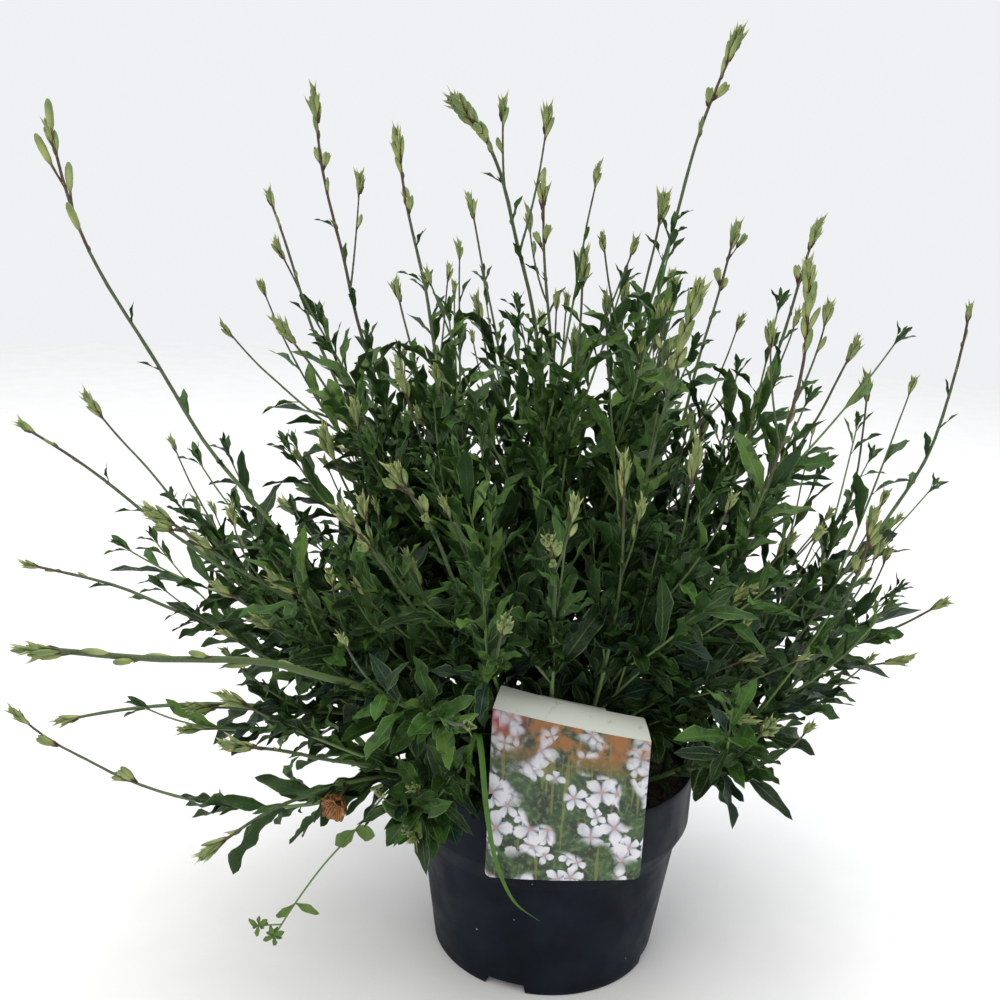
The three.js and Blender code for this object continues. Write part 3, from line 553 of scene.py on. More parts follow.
def leaf_material(look):
    """Fresh gaura leaf: dark green and faintly glossy, a pale midrib, a greyer underside and a painted
    highlight along its margin. Its tone gives painted shade deep in the crown, painted light outwards and on
    top, and a painted bluish sheen on the darkest leaves.
    """
    made, tree = material("gaura_leaf", IOR=1.42, Specular_IOR_Level=0.35)
    u, v = across_and_along(tree)
    tone = put(tree, "TONE")
    mottle = grain(tree, 9, 3)
    uneven = put(tree, "MULTIPLY", put(tree, "SUBTRACT", mottle, 0.5), 0.6)
    # The tone carries painted shade and light as well as random variation, so the deep to light mix is partly
    # painted shade.
    depth = put(tree, "RANGE", put(tree, "ADD", tone, uneven), 0.0, 1.0)
    colour = put(tree, "MIX", depth, look.deep, look.light)
    # Painted sheen: the darkest-toned leaves get a bluish-grey cast that stands for the sky's reflection.
    painted_sky_sheen = put(tree, "RANGE", tone, 0.16, 0.04, 0.0, 0.6)
    colour = put(tree, "MIX", painted_sky_sheen, colour, linear("1c3632"))
    # Yellow-green on the highest tones: the colour of new growth, placed where the painted light is
    # strongest.
    yellow = put(tree, "RANGE", tone, 0.9, 1.0, 0.0, 0.6)
    colour = put(tree, "MIX", yellow, colour, linear("8c9a3f"))
    off_rib = put(tree, "ABSOLUTE", put(tree, "SUBTRACT", put(tree, "FRACT", u), 0.5))
    off_rib = put(tree, "MULTIPLY", off_rib, 2.0)
    veins = put(tree, "SUBTRACT", put(tree, "MULTIPLY", v, 11.0), put(tree, "MULTIPLY", off_rib, 2.2))
    ridge = put(tree, "RANGE", put(tree, "PINGPONG", veins, 0.5), 0.0, 0.16, 1.0, 0.0)
    colour = put(tree, "MIX", put(tree, "MULTIPLY", ridge, 0.16), colour, look.rib)
    rib_width = put(tree, "RANGE", v, 0.0, 1.0, 0.13, 0.04)
    rib = put(tree, "RANGE", put(tree, "DIVIDE", off_rib, rib_width), 0.5, 1.2, 1.0, 0.0)
    # Painted highlight: a pale line along the leaf's edge stands for light glinting on its rim; the pale
    # midrib is the leaf's own colour.
    margin = put(tree, "RANGE", off_rib, 0.8, 0.96, 0.0, 0.8)
    pale = put(tree, "MAXIMUM", put(tree, "MULTIPLY", rib, 0.42), margin)
    colour = put(tree, "MIX", pale, colour, look.rib)
    below = put(tree, "GREATER_THAN", u, 1.0)
    colour = put(tree, "MIX", put(tree, "MULTIPLY", below, 0.65), colour, look.under)
    rough = put(tree, "RANGE", mottle, 0.3, 0.7, 0.38, 0.55)
    furrow = put(tree, "MULTIPLY", put(tree, "ADD", ridge, rib), 0.8)
    return surface(made, colour, rough, put(tree, "SUBTRACT", mottle, furrow), 0.35, 0.6)


def stem_material(look):
    """Herbaceous stem: green and finely uneven, flushed maroon under its buds."""
    made, tree = material("gaura_stem", Roughness=0.5, IOR=1.42)
    flush = put(tree, "TONE")
    uneven = put(tree, "MULTIPLY", put(tree, "SUBTRACT", grain(tree, 14, 2), 0.5), 0.5)
    green = put(tree, "MIX", put(tree, "RANGE", flush, 0.04, 0.3), linear("678049"), look.green_stem)
    red = put(tree, "RANGE", put(tree, "ADD", flush, uneven), 0.45, 0.95)
    colour = put(tree, "MIX", red, green, look.red_stem)
    fine = grain(tree, 1.6, 2)
    colour = put(tree, "MIX", put(tree, "RANGE", fine, 0.35, 0.75, 0.0, 0.2), colour, linear("858e68"))
    return surface(made, colour, None, fine, 0.08)


def bud_material(look):
    """Gaura bud or bract: maroon at the foot, olive, with a pale stripe down its middle: on a bud a painted
    highlight, on a bract its midrib. A tone past 1 gives a pale tip.
    """
    made, tree = material("gaura_bud", Roughness=0.5, IOR=1.42)
    u, v = across_and_along(tree)
    tone = put(tree, "TONE")
    darker = put(tree, "FRACT", tone)
    body = put(tree, "MIX", darker, look.bud, look.bud_dark)
    # Pale stripe down the middle: a painted highlight on a bud, the midrib on a bract.
    off_middle = put(tree, "ABSOLUTE", put(tree, "SUBTRACT", put(tree, "FRACT", u), 0.5))
    middle = put(tree, "RANGE", off_middle, 0.0, 0.3, 0.45, 0.0)
    body = put(tree, "MIX", middle, body, linear("a3ad78"))
    end = put(tree, "MIX", put(tree, "GREATER_THAN", tone, 1.0), look.bud_dark, linear("c2c388"))
    body = put(tree, "MIX", put(tree, "RANGE", v, 0.6, 1.0, 0.0, 0.85), body, end)
    foot = put(tree, "ADD", v, put(tree, "MULTIPLY", darker, 0.16))
    return surface(made, put(tree, "MIX", put(tree, "RANGE", foot, 0.2, 0.5, 0.95, 0.0), body, look.bud_foot))


def blade_material(name, light, dark):
    """Grass or weed leaf: bright fresh green, finely striped along its length."""
    made, tree = material(name, Roughness=0.45, IOR=1.42)
    u, _ = across_and_along(tree)
    stripes = put(tree, "PINGPONG", put(tree, "MULTIPLY", u, 9.0), 0.5)
    stripes = put(tree, "RANGE", stripes, 0.1, 0.4)
    colour = put(tree, "MIX", put(tree, "MULTIPLY", stripes, 0.4), linear(light), linear(dark))
    patch = put(tree, "RANGE", grain(tree, 8, 3), 0.4, 0.75, 0.0, 0.5)
    return surface(made, put(tree, "MIX", patch, colour, linear(dark)), None, stripes, 0.1)


def withered_material():
    """Withered petal: dry orange-brown, darker along its folds and edges."""
    made, tree = material("withered_petal", Roughness=0.7, IOR=1.4)
    u, v = across_and_along(tree)
    veins = put(tree, "RANGE", put(tree, "PINGPONG", put(tree, "MULTIPLY", u, 7.0), 0.5), 0.05, 0.4)
    colour = put(tree, "MIX", veins, linear("5e3a20"), linear("a47444"))
    colour = put(tree, "MIX", put(tree, "RANGE", v, 0.6, 1.0, 0.0, 0.7), colour, linear("7c5230"))
    patch = put(tree, "RANGE", grain(tree, 3, 3), 0.5, 0.8, 0.0, 0.8)
    return surface(made, put(tree, "MIX", patch, colour, linear("cbab78")), None, veins, 0.3)


def card_material(look):
    """Coated card without print: cream, smooth, with a few specks of soil."""
    made, tree = material("coated_card", Roughness=0.38, IOR=1.5)
    soiled = put(tree, "RANGE", grain(tree, 6, 5), 0.62, 0.74, 0.0, 0.4)
    return surface(made, put(tree, "MIX", soiled, look.card, linear("8f8b78")))


def printed_material(look):
    """Coated card with a printed picture: generic pale blossoms over a soft green ground, under gloss."""
    made, tree = material("printed_card", Roughness=0.3, IOR=1.5)
    uv = put(tree, "UV")
    u, v = add(tree, "ShaderNodeSeparateXYZ", {0: uv}).outputs[:2]
    soft, fine = put(tree, "NOISE", uv, 7.0, 3.0), put(tree, "NOISE", uv, 30.0, 4.0)
    colour = put(tree, "MIX", put(tree, "RANGE", soft, 0.35, 0.65), linear("1b2a1c"), look.ground)
    colour = put(tree, "MIX", put(tree, "RANGE", fine, 0.45, 0.7, 0.0, 0.6), colour, linear("6d8550"))
    stalks = put(tree, "NOISE", put(tree, "MAPPED", uv, (26.0, 2.2, 1.0)), 1.0, 1.0)
    colour = put(tree, "MIX", put(tree, "RANGE", stalks, 0.6, 0.66, 0.0, 0.6), colour, linear("7b7c38"))
    glow = put(tree, "MULTIPLY", put(tree, "RANGE", v, 0.66, 0.92), put(tree, "RANGE", soft, 0.4, 0.56))
    colour = put(tree, "MIX", put(tree, "MULTIPLY", glow, 0.8), colour, look.warm)
    corner = put(tree, "MULTIPLY", put(tree, "RANGE", v, 0.8, 0.97), put(tree, "RANGE", u, 0.3, 0.05))
    colour = put(tree, "MIX", corner, colour, linear("9a3038"))
    high = put(tree, "RANGE", v, 0.5, 0.95)
    gathered = put(tree, "RANGE", put(tree, "NOISE", uv, 3.1, 1.0), 0.42, 0.5)
    for scale, reach, shift, petals in ((7.4, 0.48, 3.1, 2.0), (5.4, 0.5, 1.7, 2.5), (4.4, 0.5, 0.6, 2.0)):
        moved = {"Vector": uv, "Location": (shift, 0.37 * shift, 0.0)}
        place = add(tree, "ShaderNodeMapping", moved).outputs[0]
        cell = add(tree, "ShaderNodeTexVoronoi", {"Vector": place, "Scale": scale, "Randomness": 0.9},
                   voronoi_dimensions="2D").outputs
        ends = {0: place, 1: cell["Position"]}
        away = add(tree, "ShaderNodeVectorMath", ends, operation="SUBTRACT").outputs[0]
        x, y = add(tree, "ShaderNodeSeparateXYZ", {0: away}).outputs[:2]
        draw = add(tree, "ShaderNodeSeparateColor", {0: cell["Color"]}).outputs
        angle = put(tree, "ADD", put(tree, "ARCTAN2", y, x), put(tree, "MULTIPLY", draw[0], 6.28))
        petal = put(tree, "ABSOLUTE", put(tree, "COSINE", put(tree, "MULTIPLY", angle, petals)))
        ragged = put(tree, "ADD", put(tree, "MULTIPLY", petal, 0.6), put(tree, "MULTIPLY", fine, 0.5))
        edge = put(tree, "MULTIPLY", put(tree, "ADD", 0.2, ragged), reach)
        near = put(tree, "DIVIDE", cell["Distance"], edge)
        sharp = put(tree, "RANGE", near, 0.85, 1.0, 1.0, 0.0)
        blurred = put(tree, "RANGE", near, 0.3, 1.3, 0.75, 0.0)
        inside = add(tree, "ShaderNodeMix", {0: high, 2: sharp, 3: blurred}).outputs[0]
        shown = put(tree, "MULTIPLY", put(tree, "GREATER_THAN", draw[1], 0.25), gathered)
        folds = put(tree, "RANGE", near, 0.0, 0.7, 0.45, 1.0)
        folds = put(tree, "MULTIPLY", put(tree, "RANGE", petal, 0.1, 0.8), folds)
        shade = put(tree, "MIX", folds, linear("83879a"), look.blossom)
        eye = put(tree, "RANGE", cell["Distance"], 0.04, 0.12, 0.8, 0.0)
        shade = put(tree, "MIX", eye, shade, linear("b98f7c"))
        colour = put(tree, "MIX", put(tree, "MULTIPLY", inside, shown), colour, shade)
    return surface(made, colour)


# Growth of the shoots, in millimetres

def chance(a, b, c):
    """A draw between 0 and 1 that depends on its three whole numbers alone."""
    wave = math.sin(a * 12.9898 + b * 78.233 + c * 37.719) * 43758.5453
    return wave - math.floor(wave)


def unit(v):
    return v / np.linalg.norm(v)


def squared(v, to):
    """The unit direction nearest to v that is square to another unit direction."""
    return unit(v - to * v.dot(to))


class Shoot:
    """A stem, fork or spray: points along its bending line, and its direction at each."""

    def __init__(self, start, spec, build, index):
        self.spec, self.build, self.index = spec, build, index
        self.length, self.turn, self.leafy = spec["length"], spec["turn"], spec["leafy"]
        self.girth = THICK.get(index, 1)
        turn = math.radians(self.turn)
        share = np.minimum(1, (np.arange(STEPS + 1) + 0.5) / STEPS) ** spec.get("bow", 1)
        lean = np.radians(spec["foot"] + (spec["tip"] - spec["foot"]) * share)
        sides = np.sin(lean)
        self.ways = np.stack([sides * math.cos(turn), sides * math.sin(turn), np.cos(lean)], 1)
        self.points = np.vstack([start, start + np.cumsum(self.ways[:-1], 0) * self.length / STEPS])
        self.side = np.array([-math.sin(turn), math.cos(turn), 0])

    def lean(self, step):
        share = (step / STEPS) ** self.spec.get("bow", 1)
        return self.spec["foot"] + (self.spec["tip"] - self.spec["foot"]) * share

    def radius(self, step):
        return (self.build["foot"] + (self.build["tip"] - self.build["foot"]) * step / STEPS) * self.girth

    def at(self, distance):
        """Place, direction and frame at a distance from the shoot's start. The bare part sways a little."""
        exact = max(0, distance / self.length * STEPS)
        i = min(STEPS - 1, int(exact))
        point = self.points[i] + (self.points[i + 1] - self.points[i]) * (exact - i)
        way = self.ways[i]
        across = np.cross(self.side, way)
        reach = SWAY * min(1, max(0, exact - self.leafy) / 3) * min(1, self.length / 300)
        wave = distance / SWAY_LENGTH + self.index
        sway = reach * (self.side * math.sin(wave) + across * math.cos(1.3 * wave))
        return point + sway, way, self.side, across

    def beside(self, distance, angle, spread):
        """The shoot's place and direction at a distance, one that stands off it, and to which side."""
        point, way, side, across = self.at(distance)
        out = side * math.cos(angle) + across * math.sin(angle)
        return point, way, unit(way + spread * out), out


def shoot_gap(one, other, start):
    """Least distance between two shoots, from a step of the first one on."""
    a, b = one.points[start:-1, None], one.points[start + 1:, None]
    c, d = other.points[None, :-1], other.points[None, 1:]
    near = np.linalg.norm(a - c, axis=-1) <= 60
    if not near.any():
        return math.inf
    line = d - c
    least = math.inf
    for i in range(4):
        p = a + (b - a) * i / 3
        t = np.clip(((p - c) * line).sum(-1) / (line * line).sum(-1), 0, 1)
        gap = np.linalg.norm(p - (c + line * t[..., None]), axis=-1)
        least = min(least, gap[near].min())
    return least


def blocked(points, room):
    """Whether any point, with some room about it, lies in the pot's wall, the soil or the label."""
    x, y, z = np.asarray(points).reshape(-1, 3).T
    r = np.hypot(x, y)
    low = (z < POT_HEIGHT + room) & (r < RIM_RADIUS + room)
    in_pot = low & ((r > RIM_RADIUS - RIM_BAND - room) | (z < SOIL_TOP + room))
    beside = np.abs(x - LABEL["middle"]) < LABEL["width"] / 2 + room
    level = (z < KEEP_OUT["top"] + room) & (z > KEEP_OUT["foot"])
    in_label = beside & level & (y < KEEP_OUT["back"] + room) & (y > KEEP_OUT["front"] - room)
    return bool((in_pot | in_label).any())


def first_point(spec):
    turn = math.radians(spec["turn"])
    return np.array([spec["ring"] * math.cos(turn), spec["ring"] * math.sin(turn), STEM_RISE])


def bloom_twig():
    """The twig that the withered bloom ends."""
    spec = STEMS[TWIG["stem"]]
    carrier = Shoot(first_point(spec), spec, MAIN, TWIG["stem"])
    return Shoot(carrier.points[TWIG["at"]], TWIG, FORK, 0)


BLOOM_PLACE = bloom_twig().points[-1]


def in_front(point):
    """Whether a point stands between the camera and the label or the withered bloom."""
    eye = np.array(CAMERA_PLACE) / MM
    sight = BLOOM_PLACE - eye
    along = (point - eye).dot(sight) / sight.dot(sight)
    if along < 0.99 and np.linalg.norm(eye + along * sight - point) < BLOOM_CLEARANCE:
        return True
    if point[1] > HEADER_FACE:
        return False
    on_card = eye + (point - eye) * (LABEL["face"] - eye[1]) / (point[1] - eye[1])
    beside = abs(on_card[0] - LABEL["middle"]) < LABEL["width"] / 2 + CARD_CLEARANCE
    return beside and LABEL["foot"] < on_card[2] < HEADER_TOP


def fits(shoot):
    """Whether a slender shoot keeps clear of the pot and the label, and within the plant's size."""
    low, high = (np.array(corner) / MM for corner in CAD_BOX)
    within = ((shoot.points > low - 2) & (shoot.points < high + 2)).all()
    return within and not blocked(shoot.points[1:], 4) and not any(in_front(p) for p in shoot.points[4:])


def grow_shoots():
    """Main stems with their forks and sprays. A spray turns until it passes its neighbours."""
    mains = []
    for i, spec in enumerate(STEMS):
        mains.append(Shoot(first_point(spec), spec, MAIN, i))
    grown = list(mains)
    families = [[main] for main in mains]
    for owner, spec in FORKS:
        shoot = Shoot(mains[owner].points[spec["at"]], spec, FORK, len(grown))
        grown.append(shoot)
        families[owner].append(shoot)
    for owner, main in enumerate(mains):
        for k in range(1 if len(families[owner]) > 1 else 2):
            at = SPRAY["start"] + SPRAY["apart"] * k + owner % 3
            for draw in range(1, SPRAY["tries"] + 1):
                pick = [0] + [chance(owner + 1, 10 * k + draw, c) for c in (1, 2, 3, 4)]
                side = 1 if (owner + k + draw) % 2 == 0 else -1
                turn = main.turn + side * (SPRAY["turn"] + SPRAY["more_turn"] * pick[1])
                foot = min(SPRAY["most_lean"], main.lean(at) + SPRAY["lean"] + SPRAY["more_lean"] * pick[2])
                tip = foot - SPRAY["rise"] + SPRAY["droop"] * pick[3]
                length = main.length * (SPRAY["share"] + SPRAY["more_share"] * pick[4])
                spec = fork(at, turn, foot, tip, min(length, SPRAY["longest"]))
                shoot = Shoot(main.points[at], spec, FORK, len(grown))
                clear = all(shoot_gap(shoot, other, 3 if other is main else 0)
                            > (SPRAY["off_stem"] if other is main else SHOOT_SPACING) for other in grown)
                if clear and not blocked(shoot.points[1:], SPRAY["room"]):
                    grown.append(shoot)
                    families[owner].append(shoot)
                    break
    return families


class Guide:
    """Lines that stems follow and points that leaves and buds stand on, with what each is to be."""

    FIELDS = {"radius": "FLOAT", "tone": "FLOAT", "shape": "INT", "aim": "FLOAT_VECTOR",
              "face": "FLOAT_VECTOR", "size": "FLOAT_VECTOR"}

    def __init__(self):
        self.points, self.edges, self.rows = [], [], []

    def line(self, points, radii, tones):
        start = len(self.points)
        for point, radius, tone in zip(points, radii, tones):
            self.points.append(point)
            self.rows.append((radius * MM, tone, -1, (1, 0, 0), (0, 0, 1), (1, 1, 1)))
        self.edges += [(k, k + 1) for k in range(start, len(self.points) - 1)]

    def organ(self, point, aim, face, size, shape, tone):
        self.points.append(point)
        self.rows.append((0, tone, shape, aim, face, [s * MM for s in size]))

    def mesh(self, name):
        mesh = bpy.data.meshes.new(name)
        mesh.from_pydata([tuple(np.asarray(p, float) * MM) for p in self.points], self.edges, [])
        for column, (field, kind) in enumerate(self.FIELDS.items()):
            values = [row[column] for row in self.rows]
            values = np.array(values, np.int32 if kind == "INT" else np.float32)
            layer = mesh.attributes.new(field, kind, "POINT")
            layer.data.foreach_set("vector" if kind == "FLOAT_VECTOR" else "value", values.ravel())
        return mesh


def new_tree(name, sockets):
    """A geometry node tree with its inputs, given by name and kind, and these as sockets to link from."""
    tree = bpy.data.node_groups.new(name, "GeometryNodeTree")
    tree.interface.new_socket("Geometry", in_out="OUTPUT", socket_type="NodeSocketGeometry")
    for socket, kind in sockets.items():
        tree.interface.new_socket(socket, in_out="INPUT", socket_type="NodeSocket" + kind)
    return tree, add(tree, "NodeGroupInput").outputs


def with_nodes(made, tree, inputs):
    """The object as a plain mesh that the tree has worked on, with the tree's inputs set."""
    modifier = made.modifiers.new(tree.name, "NODES")
    modifier.node_group = tree
    for socket in tree.interface.items_tree:
        if socket.in_out == "INPUT" and socket.name in inputs:
            modifier[socket.identifier] = inputs[socket.name]
    return evaluated(made)


def grown_tree():
    """Nodes that turn a guide into stems with leaves and buds: tubes on its lines, shapes on its points."""
    tree, given = new_tree("Grow along a guide", {
        "Geometry": "Geometry", "Shapes": "Collection", "Stem sides": "Int", "Leaf size": "Float",
        "First bud": "Int", "Stem material": "Material", "Leaf material": "Material",
        "Bud material": "Material"})
    named = {}
    for field, kind in Guide.FIELDS.items():
        if field != "tone":
            reader = add(tree, "GeometryNodeInputNamedAttribute", {"Name": field}, data_type=kind)
            named[field] = reader.outputs[0]
    on_line = put(tree, "BELOW", named["shape"], 0)
    parts = add(tree, "GeometryNodeSeparateGeometry", {0: given["Geometry"], 1: on_line}, domain="POINT")
    curve = add(tree, "GeometryNodeMeshToCurve", {0: parts.outputs[0]})
    round_line = {"Resolution": given["Stem sides"], "Radius": 1.0}
    section = add(tree, "GeometryNodeCurvePrimitiveCircle", round_line)
    tubes = add(tree, "GeometryNodeCurveToMesh",
                {0: curve.outputs[0], 1: section.outputs[0], "Scale": named["radius"], "Fill Caps": True})
    shapes = add(tree, "GeometryNodeCollectionInfo",
                 {"Collection": given["Shapes"], "Separate Children": True, "Reset Children": True})
    facing = add(tree, "FunctionNodeAxesToRotation", {0: named["aim"], 1: named["face"]},
                 primary_axis="X", secondary_axis="Z")
    is_leaf = put(tree, "BELOW", named["shape"], given["First bud"])
    factor = add(tree, "GeometryNodeSwitch", {0: is_leaf, 1: 1.0, 2: given["Leaf size"]}, input_type="FLOAT")
    scaled = {0: named["size"], "Scale": factor.outputs[0]}
    size = add(tree, "ShaderNodeVectorMath", scaled, operation="SCALE")
    placed = add(tree, "GeometryNodeInstanceOnPoints",
                 {"Points": parts.outputs[1], "Instance": shapes.outputs[0], "Pick Instance": True,
                  "Instance Index": named["shape"], "Rotation": facing.outputs[0], "Scale": size.outputs[0]})
    joined = add(tree, "GeometryNodeJoinGeometry", {0: tubes.outputs[0]})
    tree.links.new(placed.outputs[0], joined.inputs[0])
    solid = add(tree, "GeometryNodeRealizeInstances", {0: joined.outputs[0]}).outputs[0]
    is_bud = put(tree, "FROM", named["shape"], given["First bud"])
    for name, chosen in (("Leaf material", True), ("Bud material", is_bud), ("Stem material", on_line)):
        inputs = {"Geometry": solid, "Material": given[name], "Selection": chosen}
        solid = add(tree, "GeometryNodeSetMaterial", inputs).outputs[0]
    add(tree, "NodeGroupOutput", {0: solid})
    return tree


def grown_piece(name, guide, tree, inputs):
    """The piece that a guide grows into, as a plain mesh that keeps only its tone."""
    made = with_nodes(piece(name, guide.mesh(name)), tree, inputs)
    for field in Guide.FIELDS:
        layer = made.data.attributes.get(field)
        if layer and field != "tone":
            made.data.attributes.remove(layer)
    return made


# Shapes of leaves and buds. A shape is 1 long along X and 1 wide along Y, and its face looks up Z.

# A leaf's outline: how far along, and half width. It has a stalk and is widest past its middle.
LEAF_OUTLINE = ((0, 0.1), (0.1, 0.14), (0.28, 0.55), (0.46, 0.92), (0.62, 1), (0.8, 0.86), (0.92, 0.52),
                (0.98, 0.22), (1, 0))
SMALL_OUTLINE = ((0, 0.12), (0.15, 0.3), (0.4, 0.85), (0.6, 1), (0.85, 0.62), (1, 0))
BRACT_OUTLINE = ((0, 0.4), (0.2, 0.85), (0.45, 1), (0.66, 0.6), (0.8, 0.16), (1, 0))


def leaf_shape(name, kind, outline=LEAF_OUTLINE, rows=18, waves=2.5, tooth=0.09, cup=0.4, thick=0.014):
    """Blade with a waved margin, folded along a midrib, with a keel below."""
    pick = [chance(kind + 3, 5, c) for c in range(8)]
    curl = 0.1 + 0.8 * (kind % CURLS + 0.5) / CURLS
    twist, sway, ruffle = 2.0 * (pick[0] - 0.5), 0.9 * (pick[1] - 0.5), 0.16 + 0.16 * pick[2]
    stations = np.linspace(0, 1, rows)
    rings, x, z, before = [], 0.0, 0.0, 0.0
    for s in stations:
        bend = curl * (s + before) / 2
        x += math.cos(bend) * (s - before)
        z -= math.sin(bend) * (s - before)
        before = s
        up = np.array([math.sin(curl * s), 0, math.cos(curl * s)])
        middle = np.array([x, sway * s * s, z])
        half = 0.5 * np.interp(s, *zip(*outline))
        if half == 0:
            rings.append([middle])
            continue
        ring = [middle, middle - up * thick]
        for side in (1, -1):
            phase = 2 * math.pi * (waves * s + pick[4 + side])
            reach = half * (1 + tooth * math.sin(phase))
            turn = twist * (s - 0.3)
            lift = (cup * reach + 2 * ruffle * half * math.cos(phase)) * LEAF_ASPECT
            rise = side * reach * LEAF_ASPECT * math.sin(turn) + lift
            edge = middle + np.array([0, side * reach * math.cos(turn), 0]) + up * rise
            ring.insert(1 if side == 1 else 0, edge)
        rings.append(ring)
    points, faces = skin(rings)
    uvs = []
    ring_u = (0.02, 0.5, 0.98, 0.5)
    for face in faces:
        corners = [divmod(p, 4) for p in face]
        under = any(k == 3 for _, k in corners)
        for i, k in corners:
            tip = i == len(rings) - 1
            uvs.append(((0.5 if tip else ring_u[k]) + (1.0 if under else 0.0), stations[min(i, rows - 1)]))
    return outwards(mesh_of(name, np.array(points) / MM, faces, uvs=uvs, sharp=math.radians(70)))


# Outlines of a bud from foot to tip: how far along, half width, and place in its colouring. A bud in a tuft
# has a short foot, and one that is about to open stands on a long tube.
TUFT_BUD = ((0, 0.34, 0), (0.2, 0.4, 0.22), (0.36, 0.74, 0.46), (0.56, 1, 0.66), (0.78, 0.88, 0.84),
            (0.94, 0.46, 0.97))
OPEN_BUD = ((0, 0.3, 0), (0.25, 0.28, 0.12), (0.44, 0.34, 0.28), (0.54, 0.78, 0.42), (0.74, 1, 0.7),
            (0.9, 0.86, 0.9), (0.98, 0.42, 1))
BUD_SIDES = 7


def bud_shape(name, kind):
    """Club-shaped bud with a blunt tip, bent a little."""
    profile = OPEN_BUD if kind >= 2 else TUFT_BUD
    bend = 0.16 if kind % 2 else -0.12
    rings = []
    for s, r, _ in profile:
        ring = []
        for k in range(BUD_SIDES):
            a = 2 * math.pi * k / BUD_SIDES
            ring.append((s, 0.5 * r * math.cos(a), 0.5 * r * math.sin(a) + bend * math.sin(math.pi * s)))
        rings.append(ring)
    rings.append([(1.0, 0, 0)])
    points, faces = skin(rings)
    uvs = []
    for face in faces:
        ks = [p % BUD_SIDES for p in face if p < BUD_SIDES * len(profile)]
        wrapped = max(ks) - min(ks) > BUD_SIDES / 2
        for p in face:
            i, k = divmod(p, BUD_SIDES)
            if i == len(profile):
                k = min(ks)
            u = (k + (BUD_SIDES if wrapped and k < BUD_SIDES / 2 else 0)) / BUD_SIDES
            uvs.append((u, profile[min(i, len(profile) - 1)][2]))
    return outwards(mesh_of(name, np.array(points) / MM, faces, uvs=uvs, sharp=math.radians(80)))


def shape_collection():
    """The leaf, bud and bract shapes in the order that their numbers give."""
    shapes = bpy.data.collections.new("gaura_shapes")
    meshes = [leaf_shape(f"leaf_{k}", k) for k in range(LEAF_KINDS)]
    meshes += [leaf_shape(f"small_{k}", k + 20, SMALL_OUTLINE, 9, 2.0, 0.12) for k in range(SMALL_KINDS)]
    meshes += [bud_shape(f"bud_{k}", k) for k in range(BUD_KINDS)]
    meshes += [leaf_shape(f"bract_{k}", 4 * k, BRACT_OUTLINE, 6, 0.5, 0.1, 1.4, 0.03)
               for k in range(BRACT_KINDS)]
    for number, mesh in enumerate(meshes):
        shapes.objects.link(bpy.data.objects.new(f"shape_{number:03d}", mesh))
    return shapes


def lean_and_turn(way):
    """A direction's lean from upright and its turn about the pot, in degrees."""
    return math.degrees(math.acos(way[2])), math.degrees(math.atan2(way[1], way[0]))


def small_kind(share):
    return FIRST_SMALL + int(SMALL_KINDS * share)


def add_stem(guide, shoot, start, end, flush):
    """The tube of a shoot between two of its steps, with a slight swelling at every other step."""
    steps = np.linspace(start, end, (end - start) * 2 + 1)
    guide.line([shoot.at(s / STEPS * shoot.length)[0] for s in steps],
               [shoot.radius(s) * (1.1 if int(s * 2) % 4 == 0 else 1) for s in steps],
               [flush(s / STEPS) for s in steps])


def low_left(point):
    return point[0] < THIN_LEFT["x"] and point[2] < THIN_LEFT["z"]


